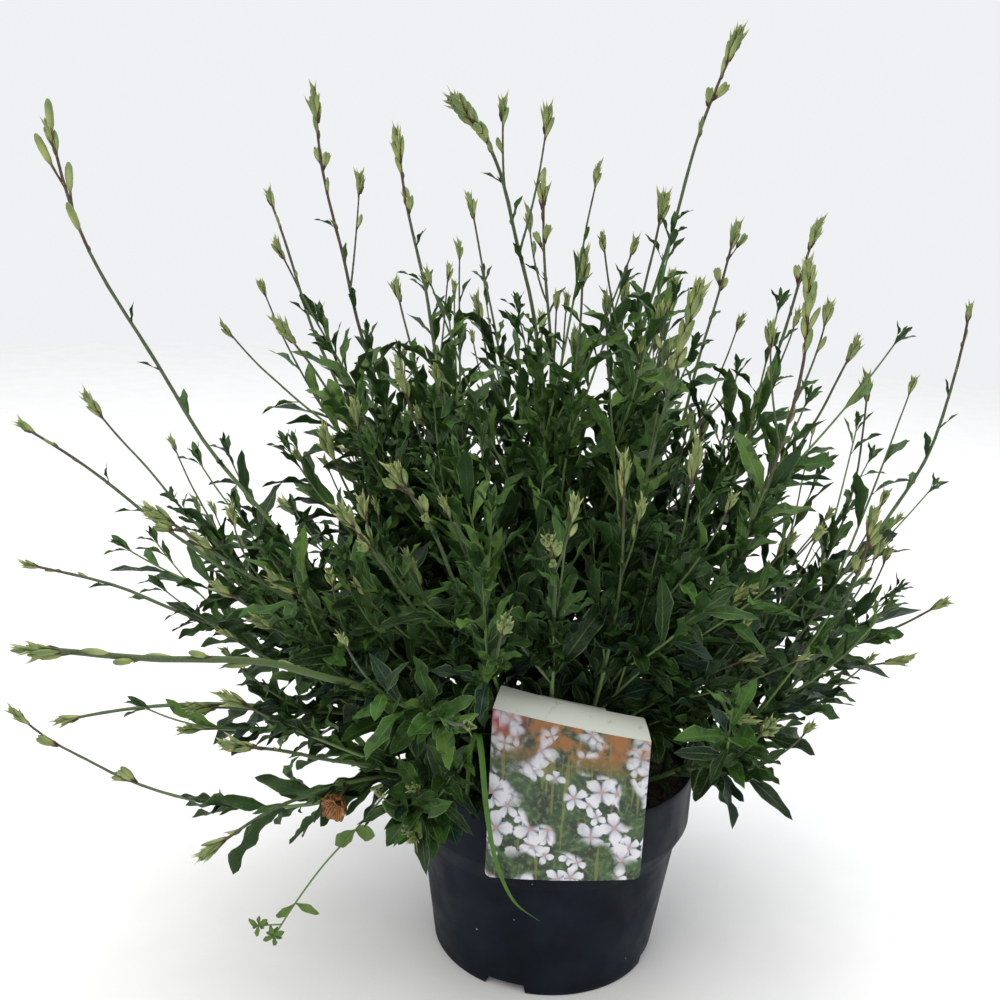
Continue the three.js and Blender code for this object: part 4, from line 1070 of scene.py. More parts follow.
def add_leaves(guide, shoot, axils=True):
    """The shoot's whole spiral of leaves, each with a small one in its axil where there are axils."""
    number = shoot.index + 1
    reach = shoot.leafy / STEPS * shoot.length - LEAF["start"] - LEAF["end"]
    count = round(reach / shoot.build["pitch"])
    for k in range(count):
        pick = [0] + [chance(number, k + 1, c) for c in range(1, 9)]
        distance = LEAF["start"] + (k + 0.3 + 0.4 * pick[1]) / count * reach
        point, way, side, across = shoot.at(distance)
        outer = math.hypot(point[0] / CROWN["reach"], point[1] / CROWN["reach"],
                           (point[2] - CROWN["height"]) / CROWN["rise"])
        bare = min(CROWN["barest"], CROWN["thinning"] * (outer - CROWN["edge"]))
        if low_left(point):
            bare += THIN_LEFT["leaves"]
        elif point[0] > THIN_RIGHT["x"]:
            bare += THIN_RIGHT["leaves"]
        if pick[8] < bare:
            continue
        # Painted shade and light in the leaf's tone: lower deep inside the crown, higher outwards, and higher
        # still high up, as painted light from above.
        lit = min(LIGHT["most"], LIGHT["least"] + LIGHT["outwards"] * outer)
        painted_top_light = LIGHT["painted_top_light"] * min(1, max(0, point[2] - LIGHT["height"]) / LIGHT["rise"])
        u = (k + 0.5) / count
        angle = math.radians(GOLDEN_TURN * k + 50 * shoot.index + 50 * (pick[5] - 0.5))
        out = side * math.cos(angle) + across * math.sin(angle)
        opened = math.radians(LEAF["opening"] - LEAF["closing"] * u + LEAF["spread"] * (pick[2] - 0.5))
        aim = way * math.cos(opened) + out * math.sin(opened)
        full = shoot.build["leaf"] * (LEAF["length"] + LEAF["gain"] * math.sin(math.pi * (0.2 + 0.78 * u)))
        length = full * (0.7 + 0.55 * pick[3])
        width = length * (LEAF["width"] + LEAF["more_width"] * pick[4])
        if axils:
            kind = CURLS * int(LEAF_KINDS // CURLS * pick[6]) + min(CURLS - 1, int(CURLS * pick[5]))
        else:
            kind = small_kind(pick[5])
        tone = min(LIGHTEST_TONE, lit * pick[7] + painted_top_light)
        add_leaf(guide, point, way, aim, length, width, kind, tone, 1.5 * (pick[5] - 0.5))
        if axils:
            draw = [chance(number, k + 1, c) for c in range(10, 15)]
            _, _, aim, _ = shoot.beside(distance, angle + 1.8 * (draw[0] - 0.5), 0.3 + 0.6 * draw[1])
            small = length * (0.35 + 0.3 * draw[2])
            # The small leaf's tone carries the same painted shade and light.
            tone = min(LIGHTEST_TONE, lit * (0.4 + 0.6 * draw[1]) + painted_top_light)
            add_leaf(guide, point, way, aim, small, small * (0.2 + 0.1 * draw[3]), small_kind(draw[4]), tone,
                     2 * (draw[2] - 0.5))


def add_leaf(guide, point, way, aim, length, width, shape, tone, roll):
    """A leaf rolled a little about its own line, unless it would lie in the pot or before the label."""
    face = squared(way + 0.4 * UP, aim)
    line = [point + aim * length * s - face * length * 0.25 * s * s for s in (0.4, 0.7, 1)]
    if not blocked(line, 2.5) and not any(in_front(p) for p in line):
        face = face * math.cos(roll) + np.cross(aim, face) * math.sin(roll)
        guide.organ(point, aim, face, (length, width, length), shape, tone)


def add_bud(guide, shoot, back, angle, spread, length, width, shape, tone):
    """A bud or bract a way back from the shoot's tip, at an angle round it."""
    point, way, aim, out = shoot.beside(shoot.length - back, angle, spread)
    face = squared(way, aim) if spread > 0.02 else out
    guide.organ(point, aim, face, (length, width, width if shape < FIRST_BRACT else length), shape, tone)


def add_tuft(guide, shoot, count, size=1.0):
    """Bouquet at a shoot's tip: club-shaped buds from nearly one spot, with pale points among them."""
    for k in range(count):
        pick = [chance(shoot.index + 1, k, c) for c in (21, 22, 23, 24, 25)]
        back = (TUFT["back"] + TUFT["step"] * k) * size
        angle = math.radians(GOLDEN_TURN * k + 40 * shoot.index)
        spread = TUFT["spread"] + TUFT["more_spread"] * (k + pick[0]) / count
        length = (TUFT["length"] + TUFT["more_length"] * pick[1]) * size
        width = (TUFT["width"] + TUFT["more_width"] * pick[2]) * size
        bract = FIRST_BRACT + k % BRACT_KINDS
        add_bud(guide, shoot, back, angle, spread, length, width, FIRST_BUD + k % 2, pick[3])
        add_bud(guide, shoot, back - 2.5, angle + 1.2, spread, length * (0.9 + 0.3 * pick[4]), 1.1 * size,
                bract, 1 + pick[2])
        add_bud(guide, shoot, back - 3, angle + 2.7, 0.7 * spread, length * (0.8 + 0.3 * pick[0]), size,
                bract, 1 + pick[1])


def add_young_tip(guide, shoot):
    """The closed young leaves at the tip of a shoot that has no buds."""
    for k in range(5):
        draw = chance(shoot.index + 1, k, 41)
        angle = math.radians(GOLDEN_TURN * k)
        point, way, aim, _ = shoot.beside(shoot.length - 1.5 * k, angle, 0.08 + 0.09 * k)
        length = 9 + 2 * k + 3 * draw
        kind = FIRST_SMALL + k % SMALL_KINDS
        add_leaf(guide, point, way, aim, length, 0.24 * length, kind, 0.5 + 0.38 * draw, 0)


def add_spikelet(guide, shoot, back, angle, size, draw):
    """A short side stalk with a few buds and a bract at its end."""
    point, way, aim, _ = shoot.beside(shoot.length - back, angle, 0.4)
    stalk = 3 + 9 * draw
    end = point + aim * stalk
    guide.line([point, point + aim * stalk * 0.5 + way * 0.4, end], [0.5, 0.45, 0.45], [0.95, 0.95, 0.8])
    inward = squared(way, aim)
    for k in range(3):
        turn = 2.1 * k + 6 * draw
        off = math.cos(turn) * np.cross(aim, inward) + math.sin(turn) * inward
        bud, bract = (0.12, 12.5, 3.3, FIRST_BUD + k % 2), (0.2, 12, 1.9, FIRST_BRACT + k)
        for spread, long, wide, shape in (bud, bract):
            lean = unit(aim + spread * off)
            face = squared(aim, lean)
            length, width, pale = long * size, wide * size, shape >= FIRST_BRACT
            guide.organ(end - aim, lean, face, (length, width, length if pale else width), shape,
                        abs(draw - 0.3 * k) + pale)


def add_leaflet(guide, shoot, back, angle, length, draw):
    """A narrow leaf of a spike's lower part."""
    point, way, aim, _ = shoot.beside(shoot.length - back, angle, 0.35 + 0.4 * draw)
    width = length * (0.17 + 0.08 * draw)
    add_leaf(guide, point, way, aim, length, width, small_kind(draw), 0.4 + 0.5 * draw, draw - 0.5)


def add_side_branch(guide, shoot, back, angle, length, number):
    """A slender branch of a spike that curves up, with a bud on its way and a small bouquet at its end."""
    point, _, aim, _ = shoot.beside(shoot.length - back, angle, 0.5)
    lean, turn = lean_and_turn(aim)
    spec = fork(0, turn, lean, 0.3 * lean, length, 0)
    branch = Shoot(point, spec, TWIGLET, 500 + 10 * shoot.index + number)
    if not fits(branch):
        return
    add_stem(guide, branch, 0, STEPS, lambda s: 0.35 + 0.6 * s * s)
    add_tuft(guide, branch, 4, 0.85)
    draw = chance(branch.index, 2, 3)
    add_bud(guide, branch, length * 0.42, 6 * draw, 0.25, 11, 2.9, FIRST_BUD, draw)
    add_bud(guide, branch, length * 0.42, 6 * draw, 0.4, 8, 2, FIRST_BRACT, draw)


def add_spike(guide, shoot):
    """A main shoot's spike: its tip, and buds in their bracts alternately down its bare stem."""
    number = shoot.index
    opening, ear, slender, pressed = (number in kind for kind in (OPENING, EARS, SLENDER, PRESSED))
    bare = (1 - shoot.leafy / STEPS) * shoot.length
    add_tuft(guide, shoot, 3 if opening or slender else 6, 0.8 if slender else 1.15 if ear else 1.05)
    back, k = 9 if opening else 13 if ear else 20, 5
    while back < bare - 8:
        pick = [chance(number + 1, k, c) for c in (31, 32, 33, 34)]
        angle = math.radians(GOLDEN_TURN * k + 40 * number)
        spread = 0.12 + 0.12 * pick[0]
        fade = max(0.6, 1 - back / 260) * (0.8 if slender else 1)
        in_ear = ear and back < EAR_REACH
        bud = FIRST_BUD + k % 2
        if opening and back < OPENING_REACH:
            point, way, aim, _ = shoot.beside(shoot.length - back, angle, 0.28)
            aim = unit(aim + 0.25 * UP)
            guide.organ(point, aim, squared(way, aim), (27 + 5 * pick[1], 4.6, 4.6), bud + 2, pick[2])
        elif pressed:
            pressed_bud = FIRST_BUD + 2 * (k % 2)
            add_bud(guide, shoot, back, angle, spread, 18 + 7 * pick[1], 3.6, pressed_bud, 0.4 * pick[2])
        elif in_ear:
            add_bud(guide, shoot, back, angle, 0.18 + 0.14 * pick[0], 14 + 4 * pick[1], 3.5, bud, pick[2])
        elif back > LEAFLET_START * bare:
            add_leaflet(guide, shoot, back, angle, 11 + 13 * back / bare * (0.5 + pick[1]), pick[2])
        elif k == 6 and not slender:
            add_spikelet(guide, shoot, back, angle, 1, 0.3 * pick[0])
            add_spikelet(guide, shoot, back + 3, angle + 2.4, 0.9, 0.3 * pick[1])
        elif pick[3] < 0.25 and not slender:
            add_spikelet(guide, shoot, back, angle, fade, pick[0])
        elif pick[3] < (0.8 if back < 90 else 0.45):
            add_bud(guide, shoot, back, angle, spread, (12 + 4 * pick[1]) * fade, 3.0 * fade, bud, pick[2])
        add_bud(guide, shoot, back + 1, angle + 0.2, 0.14 + 0.1 * pick[2], (8 + 6 * pick[2]) * fade, 1.8,
                FIRST_BRACT + k % BRACT_KINDS, pick[0])
        back += EAR_STEP if in_ear else 10 + 8 * pick[0] + back * 0.14
        k += 1
    if opening or slender or pressed:
        return
    for k in range((number + 1) % 2 + (number % 3 == 0)):
        draw = [chance(number + 1, 90 + k, c) for c in (1, 2, 3)]
        back = bare * (0.45 + 0.4 * draw[0])
        length = min(0.75 * back, 30 + 0.3 * back + 15 * draw[2])
        add_side_branch(guide, shoot, back, 6.3 * draw[1], length, k)


def fine_shoots(family):
    """Slender leafy shoots that fill a family out: they leave its shoots and run nearly along them."""
    fine = []
    for parent in family:
        if parent.index == TRAILING:
            continue
        on_stem = parent.build is MAIN
        first, apart = FILLING["on_stem" if on_stem else "on_fork"]
        starts = list(range(first, parent.leafy, apart))
        tall = on_stem and parent.length > RISING["stem"] and parent.lean(parent.leafy) < RISING["lean"]
        for k, at in enumerate(starts + [parent.leafy * RISER_START] * tall):
            riser = k >= len(starts)
            pick = [chance(parent.index + 1, 60 + k, c) for c in (1, 2, 3, 4, 5)]
            grade = RISING if riser else FILLING
            spread = FILLING["spread"] + grade["more_spread"] * pick[1]
            point, _, aim, _ = parent.beside(at / STEPS * parent.length, 6.3 * pick[0], spread)
            lean, turn = lean_and_turn(aim)
            left = (parent.leafy - at) / STEPS * parent.length
            if riser:
                length = left + RISING["past"] + RISING["more_past"] * pick[2]
            else:
                along = left * (FILLING["share"] + FILLING["more_share"] * pick[2])
                length = min(FILLING["longest"], FILLING["length"] + FILLING["more_length"] * pick[3] + along)
            leafy = grade["leafy"] if riser or pick[4] < FILLING["budded"] else STEPS
            tip = lean * (FILLING["lean"] + FILLING["more_lean"] * pick[3])
            spec = fork(0, turn, lean, tip, length, leafy)
            shoot = Shoot(point, spec, RISER if riser else FINE, 200 + 10 * parent.index + k)
            thinned = low_left(shoot.points[STEPS // 2]) and pick[4] < THIN_LEFT["shoots"]
            if fits(shoot) and not thinned:
                fine.append(shoot)
    return fine


# Operators

class Gaura:
    """What the operators of this plant share."""

    families = []
    materials = {}
    tree = None
    shapes = None

    @classmethod
    def inputs(cls, plant):
        """The growing tree's inputs, with the plant's materials made once."""
        if not cls.families:
            cls.families = grow_shoots()
            cls.tree = grown_tree()
            cls.shapes = shape_collection()
            cls.materials = {"Stem material": stem_material(plant),
                             "Leaf material": leaf_material(plant),
                             "Bud material": bud_material(plant)}
        return {"Shapes": cls.shapes, "Stem sides": plant.stem_sides, "Leaf size": plant.leaf_scale,
                "First bud": FIRST_BUD, **cls.materials}


class GAURA_OT_pot(bpy.types.Operator):
    """Mould the nursery pot"""

    bl_idname = "gaura.pot"
    bl_label = "Pot"

    def execute(self, context):
        look = context.scene.gaura_pot
        sides = look.sides
        outside = piece("pot_outside", turned("pot_outside", [
            (0, 0), (14, 0), (16, 3), (57, 3), (60, 0), (BASE_RADIUS - 2, 0), (BASE_RADIUS - 0.8, 0.4),
            (BASE_RADIUS - 0.1, 1.6), (BASE_RADIUS + 0.2, 4), (STEP_RADIUS - 0.15, STEP_HEIGHT - 1),
            (STEP_RADIUS + 0.2, STEP_HEIGHT + 0.6), (RIM_RADIUS - 1, COLLAR_FOOT - 0.8),
            (RIM_RADIUS - 0.6, COLLAR_FOOT + 0.6), (RIM_RADIUS - 0.1, POT_HEIGHT - 5.5),
            (RIM_RADIUS, POT_HEIGHT - 1.2), (RIM_RADIUS - 0.4, POT_HEIGHT - 0.3),
            (RIM_RADIUS - 1, POT_HEIGHT), (0, POT_HEIGHT)], sides))
        inside = piece("pot_inside", turned("pot_inside", [
            (0, FLOOR_TOP), (BASE_RADIUS - POT_WALL, FLOOR_TOP), (STEP_RADIUS - POT_WALL, STEP_HEIGHT + 0.5),
            (RIM_RADIUS - 1 - POT_WALL, COLLAR_FOOT + 0.5), (RIM_RADIUS - 2.2, POT_HEIGHT - 0.5),
            (RIM_RADIUS - 1.8, POT_HEIGHT), (RIM_RADIUS - 1.6, POT_HEIGHT + 5), (0, POT_HEIGHT + 5)], sides))
        cuts = piece("pot_cuts", self.notches(0))
        grown = piece("pot_cuts_grown", self.notches(POT_WALL))
        holes = piece("pot_holes", self.holes())
        self.cut(inside, grown)
        for cutter in (cuts, inside, holes):
            self.cut(outside, cutter)
        for cutter in (cuts, grown, inside, holes):
            remove(cutter)
        outside.name = "nursery_pot"
        mesh = outside.data
        mesh.materials.clear()
        mesh.materials.append(pot_plastic(look))
        mesh.polygons.foreach_set("use_smooth", [True] * len(mesh.polygons))
        mesh.set_sharp_from_angle(angle=math.radians(32))
        finish_piece(outside, "pot_plastic", "pot")
        return {"FINISHED"}

    def cut(self, made, cutter):
        tool = made.modifiers.new("Cut", "BOOLEAN")
        tool.operation = "DIFFERENCE"
        tool.solver = "EXACT"
        tool.object = cutter
        evaluated(made)

    def notches(self, margin):
        """Blocks at the cut-outs of the base edge, each with a sloping top."""
        inner = BASE_RADIUS - NOTCH["depth"] - margin
        top = NOTCH["height"] + margin
        half = NOTCH["width"] / 2 + margin
        points, faces = [], []
        for turn in NOTCH["turns"]:
            a = math.radians(turn)
            base = len(points)
            for r in (inner, inner + 30):
                for y, z in ((-half - 1, -5), (half + 1, -5), (half - 1, top), (-half + 1, top)):
                    points.append((r * math.cos(a) - y * math.sin(a), r * math.sin(a) + y * math.cos(a), z))
            faces += [[base + i for i in f] for f in
                      ([0, 3, 2, 1], [4, 5, 6, 7], [0, 1, 5, 4], [1, 2, 6, 5], [2, 3, 7, 6], [3, 0, 4, 7])]
        return outwards(mesh_of("notches", points, faces))

    def holes(self):
        """Rods through the floor, where the drain holes are."""
        points, faces = [], []
        for i in range(DRAIN["count"]):
            a = (i + 0.5) / DRAIN["count"] * 2 * math.pi
            middle = (DRAIN["ring"] * math.cos(a), DRAIN["ring"] * math.sin(a))
            more, wall = skin([circle(DRAIN["radius"], z, 20, middle) for z in (-4, 8)])
            faces += [[p + len(points) for p in f] for f in wall]
            points += more
        return outwards(mesh_of("holes", points, faces))


def soil_height(x, y):
    """Rise and fall of the soil's surface, with its fine lumps."""
    broad = 1.3 * math.sin(x / 11 + 1) * math.cos(y / 13) + 0.9 * math.sin((x + 2 * y) / 17)
    fine = 1.5 * noise.noise(Vector((x / 5, y / 5, 0))) + 1.1 * noise.noise(Vector((x / 2, y / 2, 7)))
    return SOIL_TOP + broad - 0.00025 * (x * x + y * y) + fine


def crumb_tree():
    """Nodes that strew crumbs over the level part of a surface."""
    tree, given = new_tree("Strew crumbs", {
        "Geometry": "Geometry", "Crumb": "Object", "Density": "Float", "Seed": "Int",
        "Least size": "Vector", "Most size": "Vector", "Material": "Material"})
    normal = add(tree, "GeometryNodeInputNormal").outputs[0]
    height = add(tree, "ShaderNodeSeparateXYZ", {0: normal}).outputs[2]
    level = add(tree, "FunctionNodeCompare", {0: height, 1: 0.5}, operation="GREATER_THAN")
    spots = add(tree, "GeometryNodeDistributePointsOnFaces",
                {"Mesh": given["Geometry"], "Selection": level.outputs[0], "Density": given["Density"],
                 "Seed": given["Seed"]})
    crumb = add(tree, "GeometryNodeObjectInfo", {0: given["Crumb"]})
    turns = {1: (6.3, 6.3, 6.3), "Seed": given["Seed"]}
    turn = add(tree, "FunctionNodeRandomValue", turns, data_type="FLOAT_VECTOR")
    sizes = {0: given["Least size"], 1: given["Most size"], "Seed": given["Seed"]}
    size = add(tree, "FunctionNodeRandomValue", sizes, data_type="FLOAT_VECTOR")
    placed = add(tree, "GeometryNodeInstanceOnPoints",
                 {"Points": spots.outputs[0], "Instance": crumb.outputs["Geometry"],
                  "Rotation": turn.outputs[0], "Scale": size.outputs[0]})
    joined = add(tree, "GeometryNodeJoinGeometry", {0: given["Geometry"]})
    tree.links.new(placed.outputs[0], joined.inputs[0])
    solid = add(tree, "GeometryNodeRealizeInstances", {0: joined.outputs[0]})
    done = add(tree, "GeometryNodeSetMaterial", {"Geometry": solid.outputs[0], "Material": given["Material"]})
    add(tree, "NodeGroupOutput", {0: done.outputs[0]})
    return tree


class GAURA_OT_soil(bpy.types.Operator):
    """Fill the pot with soil"""

    bl_idname = "gaura.soil"
    bl_label = "Soil"

    def execute(self, context):
        look = context.scene.gaura_pot
        edge = RIM_RADIUS - 1 - POT_WALL - 0.5
        low = [(BASE_RADIUS - POT_WALL - 12, FLOOR_TOP + 0.3), (BASE_RADIUS - POT_WALL - 11, 12),
               (STEP_RADIUS - POT_WALL - 0.5, STEP_HEIGHT + 0.5), (edge, COLLAR_FOOT + 0.5)]
        rings = [[(0, 0, FLOOR_TOP + 0.3)]]
        rings += [circle(r, z, SOIL_SIDES) for r, z in low]
        for r in np.linspace(edge, 2, SOIL_RINGS):
            rings.append([(x, y, soil_height(x, y)) for x, y, _ in circle(r, 0, SOIL_SIDES)])
        rings.append([(0, 0, soil_height(0, 0))])
        made = piece("potting_soil", outwards(mesh_of("potting_soil", *skin(rings), sharp=math.radians(80))))
        rock = [(s * math.cos(a), s * math.sin(a), h) for h, s, n in ((-0.6, 0.7, 5), (0.3, 1.0, 6))
                for a in [2 * math.pi * k / n + h for k in range(n)]]
        crumb_rings = [[(0, 0, -1)], rock[:5], rock[5:], [(0.1, 0, 0.9)]]
        crumb = bpy.data.objects.new("crumb", outwards(mesh_of("crumb", *skin(crumb_rings))))
        with_nodes(made, crumb_tree(), {"Crumb": crumb, "Density": CRUMB_DENSITY, "Seed": CRUMB_SEED,
                                        "Least size": CRUMB_LEAST, "Most size": CRUMB_MOST,
                                        "Material": soil_material(look)})
        remove(crumb)
        finish_piece(made, "potting_soil", "soil")
        return {"FINISHED"}


def onward(steps, part):
    """How far the steps of a bent strip go on, upwards by their cosine or backwards by their sine."""
    return sum(rise * part(math.radians(tilt)) for rise, tilt in steps)


def strip(row, steps):
    """Rows of a bent strip: each step goes on by its rise, at its tilt from upright."""
    fronts, backs, before = [], [], steps[0][1]
    row = [np.array(p, float) for p in row]
    for rise, tilt in [(0, before), *steps]:
        way = np.array([0, math.sin(math.radians(tilt)), math.cos(math.radians(tilt))])
        row = [p + way * (rise(p) if callable(rise) else rise) for p in row]
        lie = math.radians((tilt + before) / 2)
        before = tilt
        fronts.append(row)
        backs.append([p + np.array([0, math.cos(lie), -math.sin(lie)]) * LABEL_THICK for p in row])
    return fronts, backs


class GAURA_OT_label(bpy.types.Operator):
    """Fold the picture label"""

    bl_idname = "gaura.label"
    bl_label = "Label"

    def execute(self, context):
        look = context.scene.gaura_label
        half, corner = LABEL["width"] / 2, CARD_CORNER
        slope = (LABEL["right"] - LABEL["left"]) / LABEL["width"]
        fold_middle = (LABEL["right"] + LABEL["left"]) / 2
        rows = CARD_ROWS

        def bowed(x):
            return LABEL["face"] + LABEL["bow"] * x * x

        def foot(x):
            into = max(0, abs(x) - half + corner)
            return LABEL["foot"] + 0.035 * x + corner - math.sqrt(max(0, corner * corner - into * into))

        xs = sorted({*np.linspace(-half, half, 33), -half + 1, half - 1, -half + 0.3, half - 0.3})
        first = [(LABEL["middle"] + x, bowed(x), foot(x)) for x in xs]

        def rise(p):
            x = p[0] - LABEL["middle"]
            return (fold_middle + slope * x - foot(x)) / rows

        fronts, backs = strip(first, [(rise, 0)] * rows + HEADER_BENDS)
        points, faces, tags = sheet(fronts, backs)
        columns = len(xs)
        uvs, indices = [], []
        for face, tag in zip(faces, tags):
            row = max(p // columns for p in face)
            indices.append(0 if tag == "front" and row <= rows else 1)
            for p in face:
                i, j = divmod(p % (len(fronts) * columns), columns)
                uvs.append((xs[j] / LABEL["width"] + 0.5, i / rows))
        self.trim_header(points, fronts, rows, columns)
        card = mesh_of("card", points, faces, [printed_material(look), card_material(look)], indices, uvs)
        made = piece("picture_label", outwards(card))
        upper = [(LABEL["middle"] + x, bowed(x) - 1.8 + onward(HEADER_BENDS, math.sin),
                  fold_middle + slope * x + onward(HEADER_BENDS, math.cos) - 1)
                 for x in np.linspace(-TONGUE_WIDTH / 2, TONGUE_WIDTH / 2, 9)]
        down = (lambda p: (p[2] - STEM_FOOT) / 6, 180)
        fronts, backs = strip(upper, TONGUE_BENDS + [down] * 6)
        points, faces, _ = sheet(fronts, backs)
        tongue = outwards(mesh_of("label_tongue", points, faces, [card.materials[1]]))
        back = piece("label_tongue", tongue)
        finish_piece(made, "label_card", "label")
        finish_piece(back, "label_card", "label")
        return {"FINISHED"}

    def trim_header(self, points, fronts, rows, columns):
        """Draws the header's ends in towards its top edge."""
        shift = len(fronts) * columns
        top = len(fronts) - 1
        for i in range(rows + 1, len(fronts)):
            narrow = 1 - 0.1 * (i - rows) / (top - rows)
            for j in range(columns):
                for p in (i * columns + j, i * columns + j + shift):
                    points[p] = points[p].copy()
                    points[p][0] = LABEL["middle"] + (points[p][0] - LABEL["middle"]) * narrow


def smooth_path(points, per=6):
    """A smooth run through given points."""
    points = [np.asarray(p, float) for p in points]
    padded = [2 * points[0] - points[1], *points, 2 * points[-1] - points[-2]]
    run = []
    for a, b, c, d in zip(padded, padded[1:], padded[2:], padded[3:]):
        for k in range(per):
            t = k / per
            run.append(0.5 * (2 * b + (c - a) * t + (2 * a - 5 * b + 4 * c - d) * t * t
                              + (3 * b - a - 3 * c + d) * t ** 3))
    return run + [points[-1]]


# The grass blade's line, with its half width
GRASS = [(-56, -70, 112, 1.2), (-56, -70, 128, 1.2), (-55, -84, 176, 1.6), (-51, -97, 196, 1.7),
         (-48, -105, 188, 1.8), (-43, -107, 150, 1.6), (-36, -105, 116, 1.3), (-24, -100, 86, 0.9),
         (-7, -97, 70, 0.1)]


class GAURA_OT_grass(bpy.types.Operator):
    """Grow the grass blade over the label"""

    bl_idname = "gaura.grass"
    bl_label = "Grass blade"

    def execute(self, context):
        run = smooth_path(GRASS)
        rings = []
        for i, here in enumerate(run):
            before, after = run[max(0, i - 1)], run[min(len(run) - 1, i + 1)]
            way = unit(after[:3] - before[:3])
            side = squared(np.array([1, 0, 0]), way)
            face = np.cross(side, way)
            half, point = max(0.1, here[3]), here[:3]
            edges = [(-1, 0.3), (-0.5, 0.05), (0, 0), (0.5, 0.05), (1, 0.3)]
            ring = [point + side * half * out - face * sunk * half for out, sunk in edges]
            rings.append(ring + [point + face * 0.5])
        points, faces = skin(rings)
        uvs = [((0.1, 0.3, 0.5, 0.7, 0.9, 0.5)[p % 6], p // 6 / len(run)) for face in faces for p in face]
        mesh = mesh_of("grass", points, faces, [blade_material("grass_blade", "55812a", "33591d")], uvs=uvs)
        made = piece("grass_leaf", outwards(mesh))
        finish_piece(made, "grass", "grass_blade")
        return {"FINISHED"}


# The weed seedling's stalk
WEED = [(-70, -40, 112), (-70, -40, 128), (-80, -46, 143), (-92, -53, 148), (-108, -60, 133),
        (-126, -70, 112), (-145, -81, 92), (-161, -90, 70), (-173, -96, 50)]


class GAURA_OT_weed(bpy.types.Operator):
    """Grow the weed seedling over the pot's edge"""

    bl_idname = "gaura.weed"
    bl_label = "Weed seedling"

    def execute(self, context):
        inputs = Gaura.inputs(context.scene.gaura_plant)
        run = smooth_path(WEED, 5)
        guide = Guide()
        guide.line(run, [0.8 - 0.25 * i / len(run) for i in range(len(run))], [0.3] * len(run))
        for at, length, share in ((5, 17, 0.62), (7, 18, 0.3)):
            way = unit(np.subtract(WEED[at + 1], WEED[at]))
            for turn in (-1, 1):
                aim = unit(np.array([0.75 * turn, -0.25, 0.5 * turn]) + way * 0.5)
                self.leaf(guide, np.array(WEED[at], float), aim, length, share, at)
        tip = np.array(WEED[-1], float)
        stalk = tip + (-9, -3, 9)
        guide.line([tip + (4, 2, 7), stalk], [0.5, 0.45], [0.3, 0.3])
        for middle, count in ((tip, 9), (stalk, 7)):
            for k in range(count):
                a = 2 * math.pi * k / count
                aim = unit(np.array([math.cos(a), -0.3 if k % 2 else 0.3, math.sin(a)]))
                self.leaf(guide, middle, aim, 8 if k % 2 else 6, 0.45, k)
        weed = blade_material("weed_leaf", "66833a", "45622a")
        made = grown_piece("weed_seedling", guide, Gaura.tree,
                           {**inputs, "Stem material": weed, "Leaf material": weed, "Bud material": weed})
        finish_piece(made, "weed", "weed_sprig")
        return {"FINISHED"}

    def leaf(self, guide, point, aim, length, share, number):
        face = squared(np.array([-0.2, -1, 0.5]), aim)
        size = (length, length * share, length)
        guide.organ(point, aim, face, size, FIRST_SMALL + number % SMALL_KINDS, 0.5)


# Petals of the withered bloom: how many, the rows and columns of each, and its height, reach and half width
PETAL = {"count": 6, "rows": 8, "columns": 7, "height": 13, "reach": 9, "half": 6.2}


class GAURA_OT_bloom(bpy.types.Operator):
    """Wither the one bloom"""

    bl_idname = "gaura.bloom"
    bl_label = "Withered bloom"

    def execute(self, context):
        Gaura.inputs(context.scene.gaura_plant)
        twig = bloom_twig()
        way, side = twig.ways[-1], twig.side
        across = np.cross(side, way)
        seat = twig.points[-1]
        points, faces, uvs = [], [], []
        rows, columns = PETAL["rows"], PETAL["columns"]
        for petal in range(PETAL["count"]):
            a = 2 * math.pi * petal / PETAL["count"] + 0.4 * chance(petal, 2, 3)
            out = side * math.cos(a) + across * math.sin(a)
            flat = np.cross(way, out)
            curl = 0.2 + 1.1 * chance(petal, 4, 5)
            fronts, backs = [], []
            for i in range(rows):
                s = i / (rows - 1)
                row, under = [], []
                for j in range(columns):
                    h = (j / (columns - 1) - 0.5) * 2
                    width = PETAL["half"] * math.sin(math.pi * (0.12 + 0.75 * s))
                    lift = PETAL["height"] * math.sin(min(1.5, s * 1.25)) - 3.5 * curl * s * s
                    reach = 1 + PETAL["reach"] * s - 2 * curl * s * s
                    crumple = 1.5 * noise.noise(Vector((s * 3 + petal, h * 1.4, petal * 2.3))) * (0.3 + s)
                    p = seat + way * (lift - 1.2 * h * h + crumple)
                    p = p + out * (reach + crumple) + flat * width * h
                    row.append(p)
                    under.append(p + way * 0.22 - out * 0.3)
                fronts.append(row)
                backs.append(under)
            more, patch, _ = sheet(fronts, backs)
            for face in patch:
                for p in face:
                    i, j = divmod(p % (rows * columns), columns)
                    uvs.append((j / (columns - 1), i / (rows - 1)))
            faces += [[p + len(points) for p in face] for face in patch]
            points += more
        mesh = mesh_of("bloom", points, faces, [withered_material()], uvs=uvs, sharp=math.radians(60))
        made = piece("withered_petals", outwards(mesh))
        finish_piece(made, "withered_petal", "withered_bloom")
        return {"FINISHED"}


